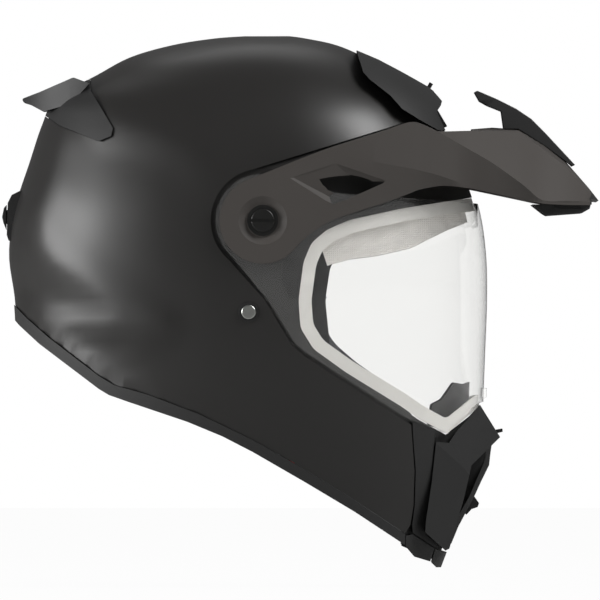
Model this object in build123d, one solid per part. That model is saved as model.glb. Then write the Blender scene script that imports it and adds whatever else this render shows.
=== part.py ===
"""Dual sport helmet: a full-face shell with a peak, a clear face shield and a chin vent.

Frame: X forward (the way the wearer looks), Y to the wearer's left, Z up, in millimetres.
The origin is the centre of the head space. The wearer's right side is the -Y side.

The outer form is one body through level sections, in flat facets. Every shell, liner and pad
is the space between two insets of that form, cut by outlines seen from the side, so that
the layers nest at any size. Outlines are side views in pixels of the photograph: at() turns
them into millimetres with the shell's real length.
"""

from build123d import *
from math import copysign, cos, pi, radians, sin
import os

os.makedirs("parts", exist_ok=True)

# Driving sizes
shell_length = 306.0            # back of the shell to the front of the shield
SHELL_SPAN_PX = 478             # the same length in the photograph
HEAD_PX = (240, 270)            # centre of the head space in the photograph
mm_per_px = shell_length / SHELL_SPAN_PX
half_width = 122.5              # mid-plane to the side of the shell
waist_x = 5.0                   # where the level sections are widest
reach = 180.0                   # half length of a cut that passes through both sides
far = 400.0                     # overrun of cuts that leave the part

# Layers, as depths below the outer form
shell_wall = 4.2
shield_wall = 2.0
shield_recess = 2.4             # depth of the step that the shield lies in
zone_wall = 3.0                 # shell under that step
layer_gap = 0.3                 # between neighbouring layers
liner_wall = 27.5
crown_pad_wall = 9.0
cheek_pad_wall = 24.0
edge_trim_proud = 0.8

# Pivot of the shield and the peak, from the side plates outwards
PIVOT_PX = (263, 221)
side_flat = 119.4               # half width over the shield's flat side plates
side_flat_gap = 0.4
cup_floor_depth = 9.0           # below half_width
cup_floor_wall = 3.0
cup_radius = 33.0
cup_wall = 3.0
shield_eye_radius = 30.0
base_plate_radius = 20.0
base_plate_wall = 2.0
boss_radius = 9.0
running_gap = 0.05
boss_top_depth = 2.6            # below the peak arm's outer face
arm_wall = 5.0
arm_gap = 0.6                   # shield side plate to peak arm
arm_radius = 27.5
dish_radius = 15.4
dish_floor_radius = 10.5
dish_depth = 2.1
knob_flange_radius = 9.9
knob_flange_wall = 0.9
knob_radius = 7.4
knob_height = 2.6
knob_shank_radius = 3.5
plate_screw_circle = 13.5
plate_screw_radius = 1.6
plate_screw_head_radius = 2.8
plate_screw_head_height = 0.9
plate_screw_length = 4.4

arm_inner = side_flat + arm_gap
arm_outer = arm_inner + arm_wall
cup_floor = half_width - cup_floor_depth
knob_seat = arm_outer - dish_depth + running_gap

# Level sections of the outer form: height, back and front in the photograph (pixels), then
# the half width as a share of half_width, and the power of the section's curve
LEVELS_PX_SHARES = [
    (570, 62, 440, 0.68, 2.0),
    (541, 54, 451, 0.73, 2.0),
    (512, 46, 462, 0.78, 2.0),
    (485, 39, 474, 0.827, 2.0),
    (458, 32, 482, 0.87, 2.0),
    (411, 23, 483, 0.935, 2.1),
    (356, 18, 485, 0.98, 2.2),
    (301, 15, 487, 1.0, 2.3),
    (254, 9, 486, 1.0, 2.35),
    (208, 15, 479, 0.985, 2.4),
    (161, 30, 462, 0.94, 2.4),
    (125, 42, 444, 0.88, 2.4),
    (98, 56, 423, 0.80, 2.4),
    (75, 97, 394, 0.70, 2.3),
    (57, 131, 364, 0.58, 2.2),
    (45, 173, 336, 0.44, 2.1),
    (38.5, 214, 306, 0.27, 2.0),
    (36.2, 245, 290, 0.13, 2.0),
]
SECTION_POINTS = 24

# Side outlines in the photograph, in pixels
BOTTOM_PX = [
    (-80, 303), (13, 303), (28, 318), (50, 337), (75, 356), (100, 375), (115, 384),
    (150, 394), (200, 413), (250, 437), (300, 465), (350, 496), (404, 532), (415, 541),
    (446, 560), (620, 560), (620, 700), (-80, 700),
]
EYE_PORT_PX = [
    (298, 300), (303, 262), (311, 243), (326, 230), (350, 220), (400, 209), (475, 197),
    (620, 190), (620, 406), (478, 408), (446, 434), (414, 416), (400, 406), (345, 372),
    (313, 349), (300, 328),
]
SHIELD_ZONE_PX = [
    (248, 172), (415, 120), (452, 124), (620, 124), (620, 428), (414, 426), (405, 421),
    (305, 356), (292, 345), (283, 330), (265, 300), (222, 252), (240, 200),
]
CHIN_LINE_PX = [
    (409, 380), (411, 430), (414, 470), (413, 505), (410, 524), (404, 534), (400, 620),
    (640, 620), (640, 380),
]
SHIELD_PX = [
    (250, 176), (300, 187), (345, 194), (480, 204), (620, 204), (620, 398), (480, 402),
    (453, 426), (447, 434), (404, 416), (306, 352), (294, 342), (286, 328), (267, 298),
    (228, 252), (240, 200),
]
LOCK_PLATE_PX = [(286, 259), (302, 258), (297, 298), (290, 299), (281, 279)]
SPOILER_PX = [(20, 80), (90, 80), (92, 92), (114, 129), (112, 137), (100, 142), (60, 126), (40, 112)]
SPOILER_LIP_PX = [(22, 99), (40, 92.5), (74, 78), (90, 84), (72, 104), (44, 112), (31, 105), (24, 103)]
EDGE_TRIM_PX = [
    (-80, 280), (13, 280), (404.8, 480), (404.8, 544.3), (354, 510.5), (304, 480.5), (253, 451),
    (223, 435.5), (188, 421), (130, 401.5), (110, 394.5), (100, 388.5), (60, 358.5), (40, 343.5),
    (20, 325.5), (12, 317), (-80, 317),
]
VENT_COVER_PX = [
    (356.5, 51), (378, 60), (400, 71.5), (430, 88), (441, 97.5), (442, 101), (440.5, 106), (436.5, 112),
    (447.5, 131), (437, 130.5), (420, 121), (402, 110), (390, 96.5), (369, 80), (363, 73), (358, 57),
]
VENT_MOUTH_PX = [(431, 111), (438, 108), (450, 127), (443, 129)]
VENT_GRILLE_PX = [(432.4, 112), (437.6, 110.6), (447, 126.5), (442.5, 128)]
VENT_SLOT_PX = [(429, 114.5), (440, 113), (448, 124), (437, 127)]
VENT_CHANNEL_PX = [(400, 122), (412, 92)]
CHIN_FRAME_PX = [
    (402, 437), (411.7, 437), (411.2, 415), (414, 417), (446, 435), (479, 408.8), (520, 408.8),
    (520, 580), (446, 560), (431, 558.5), (414, 553), (405.5, 543), (405.5, 533), (402, 530),
]
CHIN_FRAME_FACE_PX = [
    (412, 421.5), (434, 431), (433.8, 442), (430, 480), (424.3, 528), (426, 534), (440, 546),
    (434, 546.5), (412.5, 532), (411.8, 524), (414.3, 505), (415.3, 470), (412.3, 432),
]
CHIN_SKIRT_PX = [(405.5, 535), (412, 533.5), (434, 548), (430, 561), (414, 556), (405.5, 546)]
CHIN_CAP_PX = [(435, 548.5), (460, 556), (460, 568), (436, 567), (431, 562)]
DEFLECTOR_PX = [
    (428, 425), (431, 404), (441, 399), (453, 382), (463, 384), (471, 381), (490, 394), (490, 402),
    (478, 406), (446, 431),
]
CROWN_PAD_CUT_PX = [
    (-80, 276), (184, 276), (184, 236), (340, 236), (346, 245), (380, 240), (420, 228), (456, 213),
    (640, 205), (640, 640), (-80, 640),
]
FACE_PX = [
    (325, 300), (330, 267), (346, 246), (380, 239), (420, 227), (456, 212), (640, 200),
    (640, 420), (440, 452), (400, 425), (350, 390), (330, 350),
]
CHEEK_PAD_PX = [
    (190, 240), (331, 240), (328, 266), (323, 290), (321, 312), (325, 328), (334, 343),
    (356, 362), (392, 387), (418, 402), (392, 434), (345, 438), (262, 400), (210, 380), (190, 374),
]
NECK_ROLL_PX = [(-60, 280), (112, 280), (128, 296), (128, 382), (100, 366), (60, 336), (20, 310), (-60, 306)]
CHIN_LINER_PX = [
    (402, 429), (446, 452), (470, 440), (500, 440), (500, 530), (448, 524), (402, 505),
]
CURTAIN_PX = [(352, 491), (402, 524.7), (440, 550), (440, 553.2), (402, 528), (352, 494.4)]

# Chin cover: its side outline, and the three facets of its side as planes through three
# corners, each (pixel x, pixel y, half width)
CHIN_COVER_PX = [
    (435.5, 441.5), (448.5, 442.3), (456, 431), (480, 405), (500, 437), (471, 465), (463.5, 498),
    (449, 548), (445, 550), (424.8, 531.5), (425.5, 520), (431.5, 480),
]
CHIN_HOLLOW_PX = [
    (395, 446.8), (450.5, 447), (459, 435.8), (478.4, 412.6), (494.6, 438.8), (540, 438.8),
    (540, 630), (448, 546), (427.7, 527.6), (395, 497),
]
CHIN_FACETS = [
    ((480, 405, 27.0), (500, 437, 13.0), (471, 465, 43.0)),
    ((435.5, 442.5, 68.0), (465, 469, 49.0), (450, 441.6, 58.7)),
    ((435.5, 442.5, 68.0), (465, 469, 49.0), (424, 531, 58.0)),
]
CHIN_MIDDLE_PX = (440, 500)
chin_cover_wall = 3.0
CHIN_GRILLE_PX = [
    (472, 464), (492, 442), (490.5, 452), (489, 465), (481, 481), (474, 496), (458, 526),
    (451, 543), (449, 543), (430, 520), (430, 470),
]
CHIN_GRILLE_REAR_PX = [
    (400, 430), (470, 430), (486, 446), (484, 462), (469, 496), (453, 524), (445, 545), (400, 560),
]
CHIN_GRILLE_PLAN = [(420, 44.0), (462, 44.0), (492, 9.0)]
grille_wall = 2.2
grille_slot = 3.4
grille_pitch = 6.6
GRILLE_SLOTS = 11
grille_slot_half = 34.0
grille_side = 6.0
grille_rib_half = 1.5           # the rib down the middle
grille_lever_side = 6.0         # solid on each side of the lever
grille_nose_share = 1.2         # how much faster the pointed front of the plan draws in
GRILLE_TOP_PX = 452
CHIN_LEVER_PX = [
    (463.3, 498), (473, 494.5), (479, 503), (477.5, 507), (471.5, 509), (466, 515), (462.5, 508),
]
CHIN_LEVER_GAP_PX = [(440, 488), (500, 488), (500, 519), (440, 519)]
CHIN_LEVER_PIN_PX = (465.8, 502.5)
CHIN_LEVER_LUG_PX = [(463, 497.5), (473.5, 494), (470, 508), (462, 508)]
chin_lever_half = 11.0
chin_lug_wall = 2.4
lever_corner = 0.5
small_pin_radius = 1.2
CHIN_SLIDER_PX = [
    (478.5, 452), (485.5, 438.3), (495, 431.2), (495.6, 429.6), (502.4, 428.4), (502.8, 431.8), (497, 433.2),
    (488, 440), (482, 453), (472.4, 486), (469.2, 486),
]
chin_slider_half = 12.0
chin_stick_half = 1.4
chin_stick_low = 452
chin_slider_travel = 4.0
CHIN_STICK_SLOT_PX = [(484, 437), (506, 421), (506, 431.4), (500, 433.5), (487, 442.5)]

# Peak: stations along the peak (pixel x), heights of its lower edge, crease, ridge and roof
# centre (pixel y), half widths as shares of the arm's outer half width, and wall
PEAK_STATIONS_PX_SHARES = [
    (205, 330, 230, 70, 65, 1.0, 1.0, 1.0),
    (312, 330, 230, 70, 65, 1.0, 1.0, 1.0),
    (332, 330, 230, 70, 65, 0.996, 0.996, 0.996),
    (385, 330, 225, 70, 65, 0.930, 0.930, 0.930),
    (415, 330, 200, 90, 85, 0.870, 0.876, 0.876),
    (432, 250, 128.5, 127.5, 126, 0.838, 0.856, 0.828),
    (450, 250, 140, 132, 131, 0.790, 0.824, 0.772),
    (490, 250, 164, 131, 129, 0.732, 0.768, 0.612),
    (518, 250, 185, 131, 129, 0.668, 0.704, 0.496),
    (545, 250, 202, 149, 146, 0.592, 0.604, 0.432),
    (568, 250, 203.5, 167, 163, 0.500, 0.508, 0.368),
    (595, 250, 202, 194, 189, 0.340, 0.350, 0.270),
]
PEAK_OUTLINE_PX = [
    (250, 180), (300, 160), (360, 141), (415, 123), (425, 124), (438, 129.5), (441, 100),
    (620, 100), (620, 203.5), (545, 204), (520, 200), (480, 191), (455, 187), (440, 186.5),
    (420, 190), (395, 200), (330, 222), (308, 236), (285, 258), (260, 240),
]
arm_slot_low = 60.0             # the arms' openings start outside this half width
PEAK_SLOT_PX = [(328.7, 196.8), (358, 182.4), (384, 182.4), (382, 184.3), (343, 201.6), (331.6, 205.4)]
PEAK_WINDOW_PX_SPAN = (300, 490)
peak_window_half = 71.0
peak_wall = 3.2
SCOOP_BLADE_PX = [
    (474, 92.5), (477, 91), (497, 99.5), (516, 109), (531, 119), (545, 133), (560, 149), (575, 165),
    (571, 167), (556, 155), (541, 140.5), (526, 126.5), (513, 116.5), (497, 110), (487, 106), (479, 101.5),
]
SCOOP_LEG_PX = [(500, 106), (515, 112), (541, 134), (556, 150), (552, 170), (506, 170), (503, 128)]
SCOOP_PX_SPAN = (474, 576)
scoop_rear_half = 31.0
scoop_front_half = 9.0
scoop_leg_wall = 2.6
seat_gap = 0.3
PEAK_TRAY_PX = [(531, 204.8), (542, 213.5), (546, 216), (581, 213.5), (589, 209), (590, 204.8)]
PEAK_TRAY_WINDOW_PX = [(549, 200), (578.5, 200), (580.7, 208.9), (554.6, 208.9)]
PEAK_TRAY_PX_SPAN = (528, 591)
peak_tray_rear_half = 72.0
peak_tray_front_half = 42.0
peak_tray_wall = 2.0

# Small parts
SPOILER_CENTRE_PX = (146, 99)
spoiler_lip_half = 62.0
spoiler_seat = 2.4
trim_corner = 1.0
pad_corner = 3.0
eye_port_corner = 2.5
cheek_channel_width = 3.0
cheek_channel_depth = 2.0
CHEEK_CHANNELS_PX = [(250, 300), (300, 300)]
cheek_pad_half = 20.0
neck_roll_wall = 14.0
chin_liner_wall = 14.0
chin_frame_wall = 3.0
chin_frame_gap = 0.4
liner_chin_setback = 9.0
vent_channel_width = 9.0
vent_channel_corner = 4.0
VENT_SLOTS = 7
vent_slot_width = 6.0
vent_slot_pitch = 8.0
knob_foot_radius = 5.2
knob_foot_wall = 1.4
knob_foot_pocket = 3.0
knob_slot_width = 1.8
knob_slot_depth = 1.0
edge_round = 0.8
seat_play = 0.05
LOCK_RIBS = 3
lock_rib_pitch = 1.7
lock_rib_groove = 0.8
lock_rib_depth = 0.4
lock_pocket = 2.0
lock_plate_wall = 1.1
LOCK_SCREW_PX = (294, 270)
LOCK_CLIP_PX = [(286.5, 282), (293.5, 281), (293.5, 292), (290, 292)]
LOCK_RIB_PX = [(284, 261.5), (286.5, 261), (284.5, 278), (282, 278)]
lock_screw_radius = 2.0
vent_cover_proud = 7.5
vent_cover_wall = 2.2
vent_mouth_half = 30.0
VENT_SLIDER_PX = (428.5, 88)
VENT_SLIDER_REAR_PX = (404, 73.5)
vent_slider_travel = 6.0
slider_base_length = 8.0
slider_base_width = 18.0
slider_base_wall = 1.2
slider_post_height = 3.6
slider_post_length = 2.6
slider_post_width = 11.0
slider_stem_width = 4.0
slider_stem_length = 6.0
slider_pad_wall = 2.6
slider_foot_width = 9.0
slider_foot_wall = 1.0
slide_gap = 0.1
REAR_VENT_PX = [(32, 190), (21, 190.5), (12, 195), (8, 203), (7, 235), (9, 241), (32, 241)]
rear_vent_half = 17.0
REAR_SLIDER_PX = [(6.6, 205), (4, 208), (2.2, 217), (3.6, 223), (6.4, 230)]
REAR_SLIDER_FOOT_PX = [(9.6, 209), (11.2, 209), (11.2, 225), (9.6, 225)]
REAR_SLIDER_STEM_PX = [(6, 210), (10, 210), (10, 224), (6, 224)]
rear_slider_half = 9.0
rear_slider_foot_half = 6.0
rear_slider_stem_half = 2.5
rear_slider_travel = 4.0
RIVET_PX = (249, 312)
rivet_seat = 121.0
rivet_ring_radius = 6.4
rivet_ring_wall = 1.0
rivet_head_radius = 4.6
rivet_head_height = 1.3
rivet_shank_radius = 2.5
rivet_tail_radius = 4.4
rivet_tail_wall = 0.9
strap_tilt = 20.0
strap_width = 22.0
strap_wall = 1.6
strap_bend = 9.0
STRAP_PATH = [(112.6, 8.0), (112.6, -14.0), (94.0, -54.0), (91.5, -84.0), (76.0, -93.0), (0.0, -93.0)]
strap_notch_half = 13.4
strap_notch_inner = 70.0
strap_notch_top = 12.0
buckle_half = 17.0
buckle_width = 27.0
buckle_height = 8.0
buckle_slot = 2.3
tongue_wall = 1.8
tongue_width = 14.0
tongue_length = 24.0
tongue_block_length = 12.0
tongue_block_height = 5.6
buckle_gap = 3.0
lever_length = 23.0
lever_width = 18.0
lever_wall = 1.8
lever_round = 2.0
lever_lip_length = 2.5
lever_lip_depth = 2.4
lever_lip_inset = 2.0
lever_pin_back = 4.5            # from the end of the housing
lug_wall = 2.2
lug_height = 3.4
lug_half_length = 3.0
lug_sunk = 1.5
buckle_round = 1.2
housing_slot_depth = 8.0
housing_bridge = 4.0            # between the strap's slot and the tongue's
tongue_slot_floor = 3.0
shield_tab_half = 9.0
SHIELD_TAB_PX = [(477, 389), (486.5, 388), (486.5, 397), (479.5, 401)]
gasket_width = 8.5
gasket_top = 2.8
gasket_depth = 9.0
deflector_wall = 2.4
curtain_inner = 40.0
curtain_outer = 8.4
skirt_wall = 3.0
cover_seat = 4.4


def at(spot, y=0.0):
    """The point of the side view that a pixel of the photograph shows."""
    return ((spot[0] - HEAD_PX[0]) * mm_per_px, y, (HEAD_PX[1] - spot[1]) * mm_per_px)


PIVOT = at(PIVOT_PX)
crown_height = at(HEAD_PX[:1] + (LEVELS_PX_SHARES[-1][0],))[2]
back_reach = -at((min(level[1] for level in LEVELS_PX_SHARES), HEAD_PX[1]))[0]
front_reach = at((max(level[2] for level in LEVELS_PX_SHARES), HEAD_PX[1]))[0]
_forms = {}


def level_ring(level, inset):
    """The corners of one level section of the form, drawn in by inset."""
    py, back_px, front_px, width_share, power = level
    back_x, _, z = at((back_px, py))
    front_x = at((front_px, py))[0]
    if z > 0:
        z *= (crown_height - inset) / crown_height
    front_scale = (front_reach - inset) / front_reach
    back_x *= (back_reach - inset) / back_reach if back_x < 0 else front_scale
    front_x *= front_scale
    middle_x = waist_x if back_x < waist_x < front_x / 2 else (back_x + front_x) / 2
    half = (half_width - inset) * width_share
    ring = []
    for step in range(SECTION_POINTS):
        turn = 2 * pi * step / SECTION_POINTS
        long_half = front_x - middle_x if cos(turn) > 0 else middle_x - back_x
        x = middle_x + long_half * copysign(abs(cos(turn)) ** (2 / power), cos(turn))
        ring.append(Vector(x, half * copysign(abs(sin(turn)) ** (2 / power), sin(turn)), z))
    return ring


def form(inset):
    """The outer form in flat facets, drawn in by inset all round (or out, if it is negative)."""
    if inset in _forms:
        return _forms[inset]
    rings = [level_ring(level, inset) for level in LEVELS_PX_SHARES]
    loops = [rings[0], rings[-1]]
    for low, high in zip(rings, rings[1:]):
        for step in range(SECTION_POINTS):
            after = (step + 1) % SECTION_POINTS
            if step < SECTION_POINTS // 2:
                loops += [(low[step], low[after], high[after]), (low[step], high[after], high[step])]
            else:
                loops += [(low[step], low[after], high[step]), (low[after], high[after], high[step])]
    faces = [Face(Wire.make_polygon(loop, close=True)) for loop in loops]
    _forms[inset] = Part([Solid(Shell(faces))])
    return _forms[inset]


def drawn(spots, corner=0.0, grow=0.0):
    """A flat outline of the side view, with rounded corners, grown or shrunk."""
    points = [(at(spot)[0], at(spot)[2]) for spot in spots]
    around = sum(p[0] * q[1] - q[0] * p[1] for p, q in zip(points, points[1:] + points[:1]))
    points = points if around > 0 else points[::-1]
    outline = Polygon(*points, align=None)
    if corner:
        outline = fillet(outline.vertices(), corner)
    if grow:
        outline = offset(outline, amount=grow, kind=Kind.INTERSECTION)
    return outline


def through(outline, y_low=-reach, y_high=reach):
    """An outline of the side view, as a solid from y_low to y_high."""
    side = Plane(origin=(0, y_high, 0), x_dir=(1, 0, 0), z_dir=(0, -1, 0))
    return extrude(side * outline, amount=y_high - y_low, dir=(0, -1, 0))


def prism(spots, y_low=-reach, y_high=reach, corner=0.0, grow=0.0):
    return through(drawn(spots, corner, grow), y_low, y_high)


def disc(radius, y_low, y_high, centre=PIVOT):
    """A round solid across the helmet, from y_low to y_high."""
    side = Plane(origin=(centre[0], y_high, centre[2]), x_dir=(1, 0, 0), z_dir=(0, -1, 0))
    return extrude(side * Circle(radius), amount=y_high - y_low)


def slab(half):
    """Everything within half of the mid-plane."""
    return Box(2 * far, 2 * half, 2 * far)


def both(shape):
    """A shape and its mirror image on the other side."""
    return shape + mirror(shape, about=Plane.XZ)


def band(depth_outer, depth_inner):
    return form(depth_outer) - form(depth_inner)


def box_between(x_low, x_high, y_low, y_high, z_low, z_high):
    centre = Pos((x_low + x_high) / 2, (y_low + y_high) / 2, (z_low + z_high) / 2)
    return centre * Box(x_high - x_low, y_high - y_low, z_high - z_low)


def write(name, shape):
    export_step(Compound(children=list(shape.solids())), f"parts/{name}.step")


def zone_outline(grow=0.0):
    """The recess that the shield lies in, with the round cup about the pivot."""
    round_end = Pos(PIVOT[0], PIVOT[2]) * Circle(cup_radius + grow)
    return drawn(SHIELD_ZONE_PX, grow=grow) + round_end


zone_flat = side_flat - shield_wall - side_flat_gap


def stepped(depth, zone_depth, grow):
    """The form at a depth, stepped further in where the shield lies."""
    flat = zone_flat - (zone_depth - shield_recess)
    return form(depth) - (through(zone_outline(grow)) - (form(zone_depth) & slab(flat)))


def cups(grow=0.0):
    """The solid cups about both pivots."""
    return both(disc(cup_radius + cup_wall + grow, cup_floor - cup_floor_wall - grow, reach))


def plate_screw_spots():
    """The centres of the two screws of a base plate."""
    lean = plate_screw_circle * cos(radians(45))
    return [(PIVOT[0] + lean, 0, PIVOT[2] - lean), (PIVOT[0] - lean, 0, PIVOT[2] + lean)]


# Layers inwards from the shell
liner_outer = shell_wall + layer_gap
liner_inner = liner_outer + liner_wall
pad_outer = liner_inner + layer_gap
crown_pad_inner = pad_outer + crown_pad_wall
cheek_pad_inner = pad_outer + cheek_pad_wall
neck_roll_inner = pad_outer + neck_roll_wall
chin_frame_outer = shell_wall + chin_frame_gap
chin_frame_inner = chin_frame_outer + chin_frame_wall
chin_liner_outer = chin_frame_inner + layer_gap
chin_liner_inner = chin_liner_outer + chin_liner_wall
RIVET = at(RIVET_PX)


def strap_notch():
    """The notch in the liner that the strap runs down, from the rivet to the rim."""
    notch = box_between(-strap_notch_half, strap_notch_half, strap_notch_inner, reach, -far, strap_notch_top)
    return both(strap_place() * notch)


def strap_place():
    return Pos(RIVET[0], 0, RIVET[2]) * Rot(0, -strap_tilt, 0)


def vent_channel():
    """The air channel under the top vent cover."""
    low, high = at(VENT_CHANNEL_PX[0]), at(VENT_CHANNEL_PX[1])
    axis = Vector(*high) - Vector(*low)
    place = Plane(origin=low, x_dir=(0, 1, 0), z_dir=axis)
    slot = RectangleRounded(vent_mouth_half, vent_channel_width, vent_channel_corner)
    return place * extrude(slot, amount=axis.length * 2, both=True)


def outer_shell():
    solid = stepped(0, shield_recess, 0)
    solid -= stepped(shell_wall, shield_recess + zone_wall, shell_wall) - cups()
    solid -= both(disc(cup_radius, cup_floor, reach))
    solid -= prism(BOTTOM_PX)
    solid -= prism(EYE_PORT_PX, corner=eye_port_corner)
    solid -= prism(CHIN_LINE_PX)
    solid -= prism(SPOILER_PX, grow=layer_gap) - form(spoiler_seat)
    solid -= both(prism(LOCK_PLATE_PX, y_low=zone_flat - lock_pocket, grow=layer_gap))
    for spot in plate_screw_spots():
        solid -= both(disc(plate_screw_radius + running_gap, 0, reach, spot))
    solid -= both(disc(rivet_shank_radius + running_gap, 0, reach, RIVET))
    solid -= both(disc(rivet_ring_radius + layer_gap, rivet_seat, reach, RIVET))
    return solid - vent_channel()


def eps_liner():
    solid = stepped(liner_outer, shield_recess + zone_wall + layer_gap, liner_outer)
    solid -= form(liner_inner)
    solid -= cups(layer_gap)
    solid -= prism(FACE_PX, corner=eye_port_corner)
    solid -= prism(BOTTOM_PX, grow=shell_wall)
    solid -= prism(CHIN_LINE_PX, grow=liner_chin_setback)
    solid -= prism(EYE_PORT_PX, grow=layer_gap) - form(gasket_depth + layer_gap)
    solid -= vent_channel()
    return solid - strap_notch()


def crown_pad():
    return band(pad_outer, crown_pad_inner) - prism(CROWN_PAD_CUT_PX, corner=pad_corner)


def cheek_pad():
    """The right cheek pad, with the two welded channels of its face."""
    solid = band(pad_outer, cheek_pad_inner) & prism(CHEEK_PAD_PX, y_high=-cheek_pad_half, corner=pad_corner)
    half = cheek_channel_width / 2
    for spot in CHEEK_CHANNELS_PX:
        x = at(spot)[0]
        channel = box_between(x - half, x + half, -reach, 0, -far, far)
        solid -= channel - form(cheek_pad_inner - cheek_channel_depth)
    return solid


def neck_roll():
    return band(pad_outer, neck_roll_inner) & prism(NECK_ROLL_PX, corner=pad_corner)


def chin_liner():
    return band(chin_liner_outer, chin_liner_inner) & prism(CHIN_LINER_PX)


def chin_curtain():
    return band(curtain_outer, curtain_inner) & prism(CURTAIN_PX)


def gasket():
    ring = prism(EYE_PORT_PX, grow=-layer_gap) - prism(EYE_PORT_PX, grow=-gasket_width)
    ring -= prism(CHIN_COVER_PX, grow=layer_gap)
    return (stepped(gasket_top, gasket_top, layer_gap) & ring) - form(gasket_depth)


def deflector():
    depth = gasket_depth + layer_gap
    return band(depth, depth + deflector_wall) & prism(DEFLECTOR_PX, corner=trim_corner)


def edge_trim():
    channel = form(-edge_trim_proud) - form(shell_wall + edge_trim_proud)
    return channel & prism(BOTTOM_PX, grow=-layer_gap) & prism(EDGE_TRIM_PX)


def rear_spoiler():
    saddle = form(0) - form(spoiler_seat - layer_gap)
    saddle &= prism(SPOILER_PX)
    centre, tip = at(SPOILER_CENTRE_PX)[0], at(SPOILER_LIP_PX[0])[0]
    plan = Pos(centre, 0) * Ellipse(centre - tip, spoiler_lip_half)
    lip = prism(SPOILER_LIP_PX, corner=trim_corner) & extrude(plan, amount=far, dir=(0, 0, 1))
    return saddle + (lip - form(spoiler_seat - layer_gap))


def vent_slide():
    """The frame of the top vent slider: X to the rear along the cover, Z out of it."""
    front, rear = at(VENT_SLIDER_PX), at(VENT_SLIDER_REAR_PX)
    along = (Vector(*rear) - Vector(*front)).normalized()
    out = Vector(along.Z, 0, -along.X)
    return Plane(origin=front, x_dir=along, z_dir=out)


def vent_cover():
    outline = drawn(VENT_COVER_PX)
    solid = (form(-vent_cover_proud) & through(outline)) - form(-layer_gap)
    inside = offset(outline, amount=-vent_cover_wall, kind=Kind.INTERSECTION)
    roof = form(vent_cover_wall - vent_cover_proud) & through(inside)
    solid -= roof - form(-layer_gap)
    slide = vent_slide()
    pad_low = -slider_base_wall - slider_pad_wall
    length = slider_base_length / 2 + slide_gap
    wide = slider_base_width / 2 + slide_gap
    end = length + vent_slider_travel
    solid += slide * box_between(-length, end, -wide, wide, pad_low, -slider_base_wall)
    solid -= slide * box_between(-far, end, -wide, wide, -slider_base_wall, far)
    stem = slider_stem_length / 2 + slide_gap
    slot_half = slider_stem_width / 2 + slide_gap
    solid -= slide * box_between(-stem, stem + vent_slider_travel, -slot_half, slot_half, -far / 10, far)
    return solid - (prism(VENT_MOUTH_PX) & slab(vent_mouth_half)) - vent_channel()


def vent_grille():
    """The slats in the mouth of the top vent."""
    panel = prism(VENT_GRILLE_PX, y_low=-vent_mouth_half + slide_gap, y_high=vent_mouth_half - slide_gap)
    for n in range(VENT_SLOTS):
        y = (n - (VENT_SLOTS - 1) / 2) * vent_slot_pitch
        panel -= prism(VENT_SLOT_PX, y - vent_slot_width / 2, y + vent_slot_width / 2)
    return panel - form(-layer_gap)


def vent_slider():
    half_length, half_wide = slider_base_length / 2, slider_base_width / 2
    low = -slider_base_wall - slider_pad_wall - slide_gap
    solid = box_between(-half_length, half_length, -half_wide, half_wide, slide_gap - slider_base_wall, 0)
    half_length, half_wide = slider_post_length / 2, slider_post_width / 2
    post = box_between(-half_length, half_length, -half_wide, half_wide, 0, slider_post_height)
    solid += fillet(post.edges().filter_by(Axis.Z), edge_round)
    half_length, half_wide = slider_stem_length / 2, slider_stem_width / 2
    solid += box_between(-half_length, half_length, -half_wide, half_wide, low, 0)
    half_length, half_wide = slider_base_length / 2, slider_foot_width / 2
    solid += box_between(-half_length, half_length, -half_wide, half_wide, low - slider_foot_wall, low)
    return vent_slide() * solid


def rear_vent():
    solid = prism(REAR_VENT_PX, -rear_vent_half, rear_vent_half, corner=trim_corner) - form(-layer_gap)
    up = rear_slider_travel / mm_per_px
    slots = ((REAR_SLIDER_FOOT_PX, rear_slider_foot_half), (REAR_SLIDER_STEM_PX, rear_slider_stem_half))
    for outline, half in slots:
        top_py = min(y for _, y in outline)
        lifted = [(x, y - up if y == top_py else y) for x, y in outline]
        solid -= prism(lifted, -half - slide_gap, half + slide_gap, grow=slide_gap)
    return solid


def rear_slider():
    solid = prism(REAR_SLIDER_PX, -rear_slider_half, rear_slider_half)
    solid += prism(REAR_SLIDER_STEM_PX, -rear_slider_stem_half, rear_slider_stem_half)
    return solid + prism(REAR_SLIDER_FOOT_PX, -rear_slider_foot_half, rear_slider_foot_half)


def lock_plate():
    """The right latch plate of the shield, sunk in the shell, with its clip and screw."""
    low = zone_flat - lock_pocket + seat_play
    solid = prism(LOCK_PLATE_PX, -low - lock_plate_wall, -low)
    solid += prism(LOCK_RIB_PX, -zone_flat, -low)
    clip = prism(LOCK_CLIP_PX, -zone_flat, -low)
    for n in range(LOCK_RIBS):
        z = at(LOCK_CLIP_PX[0])[2] - lock_rib_pitch * (n + 1)
        half = lock_rib_groove / 2
        clip -= box_between(-far, far, -reach, lock_rib_depth - zone_flat, z - half, z + half)
    screw = disc(lock_screw_radius, -zone_flat, -low, at(LOCK_SCREW_PX))
    screw -= disc(lock_screw_radius / 2, -reach, lock_rib_depth - zone_flat, at(LOCK_SCREW_PX))
    return solid + clip + screw


def base_plate():
    """The right base plate: the boss that the shield and the peak turn on."""
    solid = disc(base_plate_radius, -cup_floor - base_plate_wall, -cup_floor)
    solid += disc(boss_radius, -arm_outer + boss_top_depth, -cup_floor)
    solid -= disc(knob_shank_radius + running_gap, -reach, 0)
    solid -= disc(knob_foot_radius + running_gap, -cup_floor - knob_foot_pocket, 0)
    for spot in plate_screw_spots():
        solid -= disc(plate_screw_radius + running_gap, -reach, 0, spot)
    return solid


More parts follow.
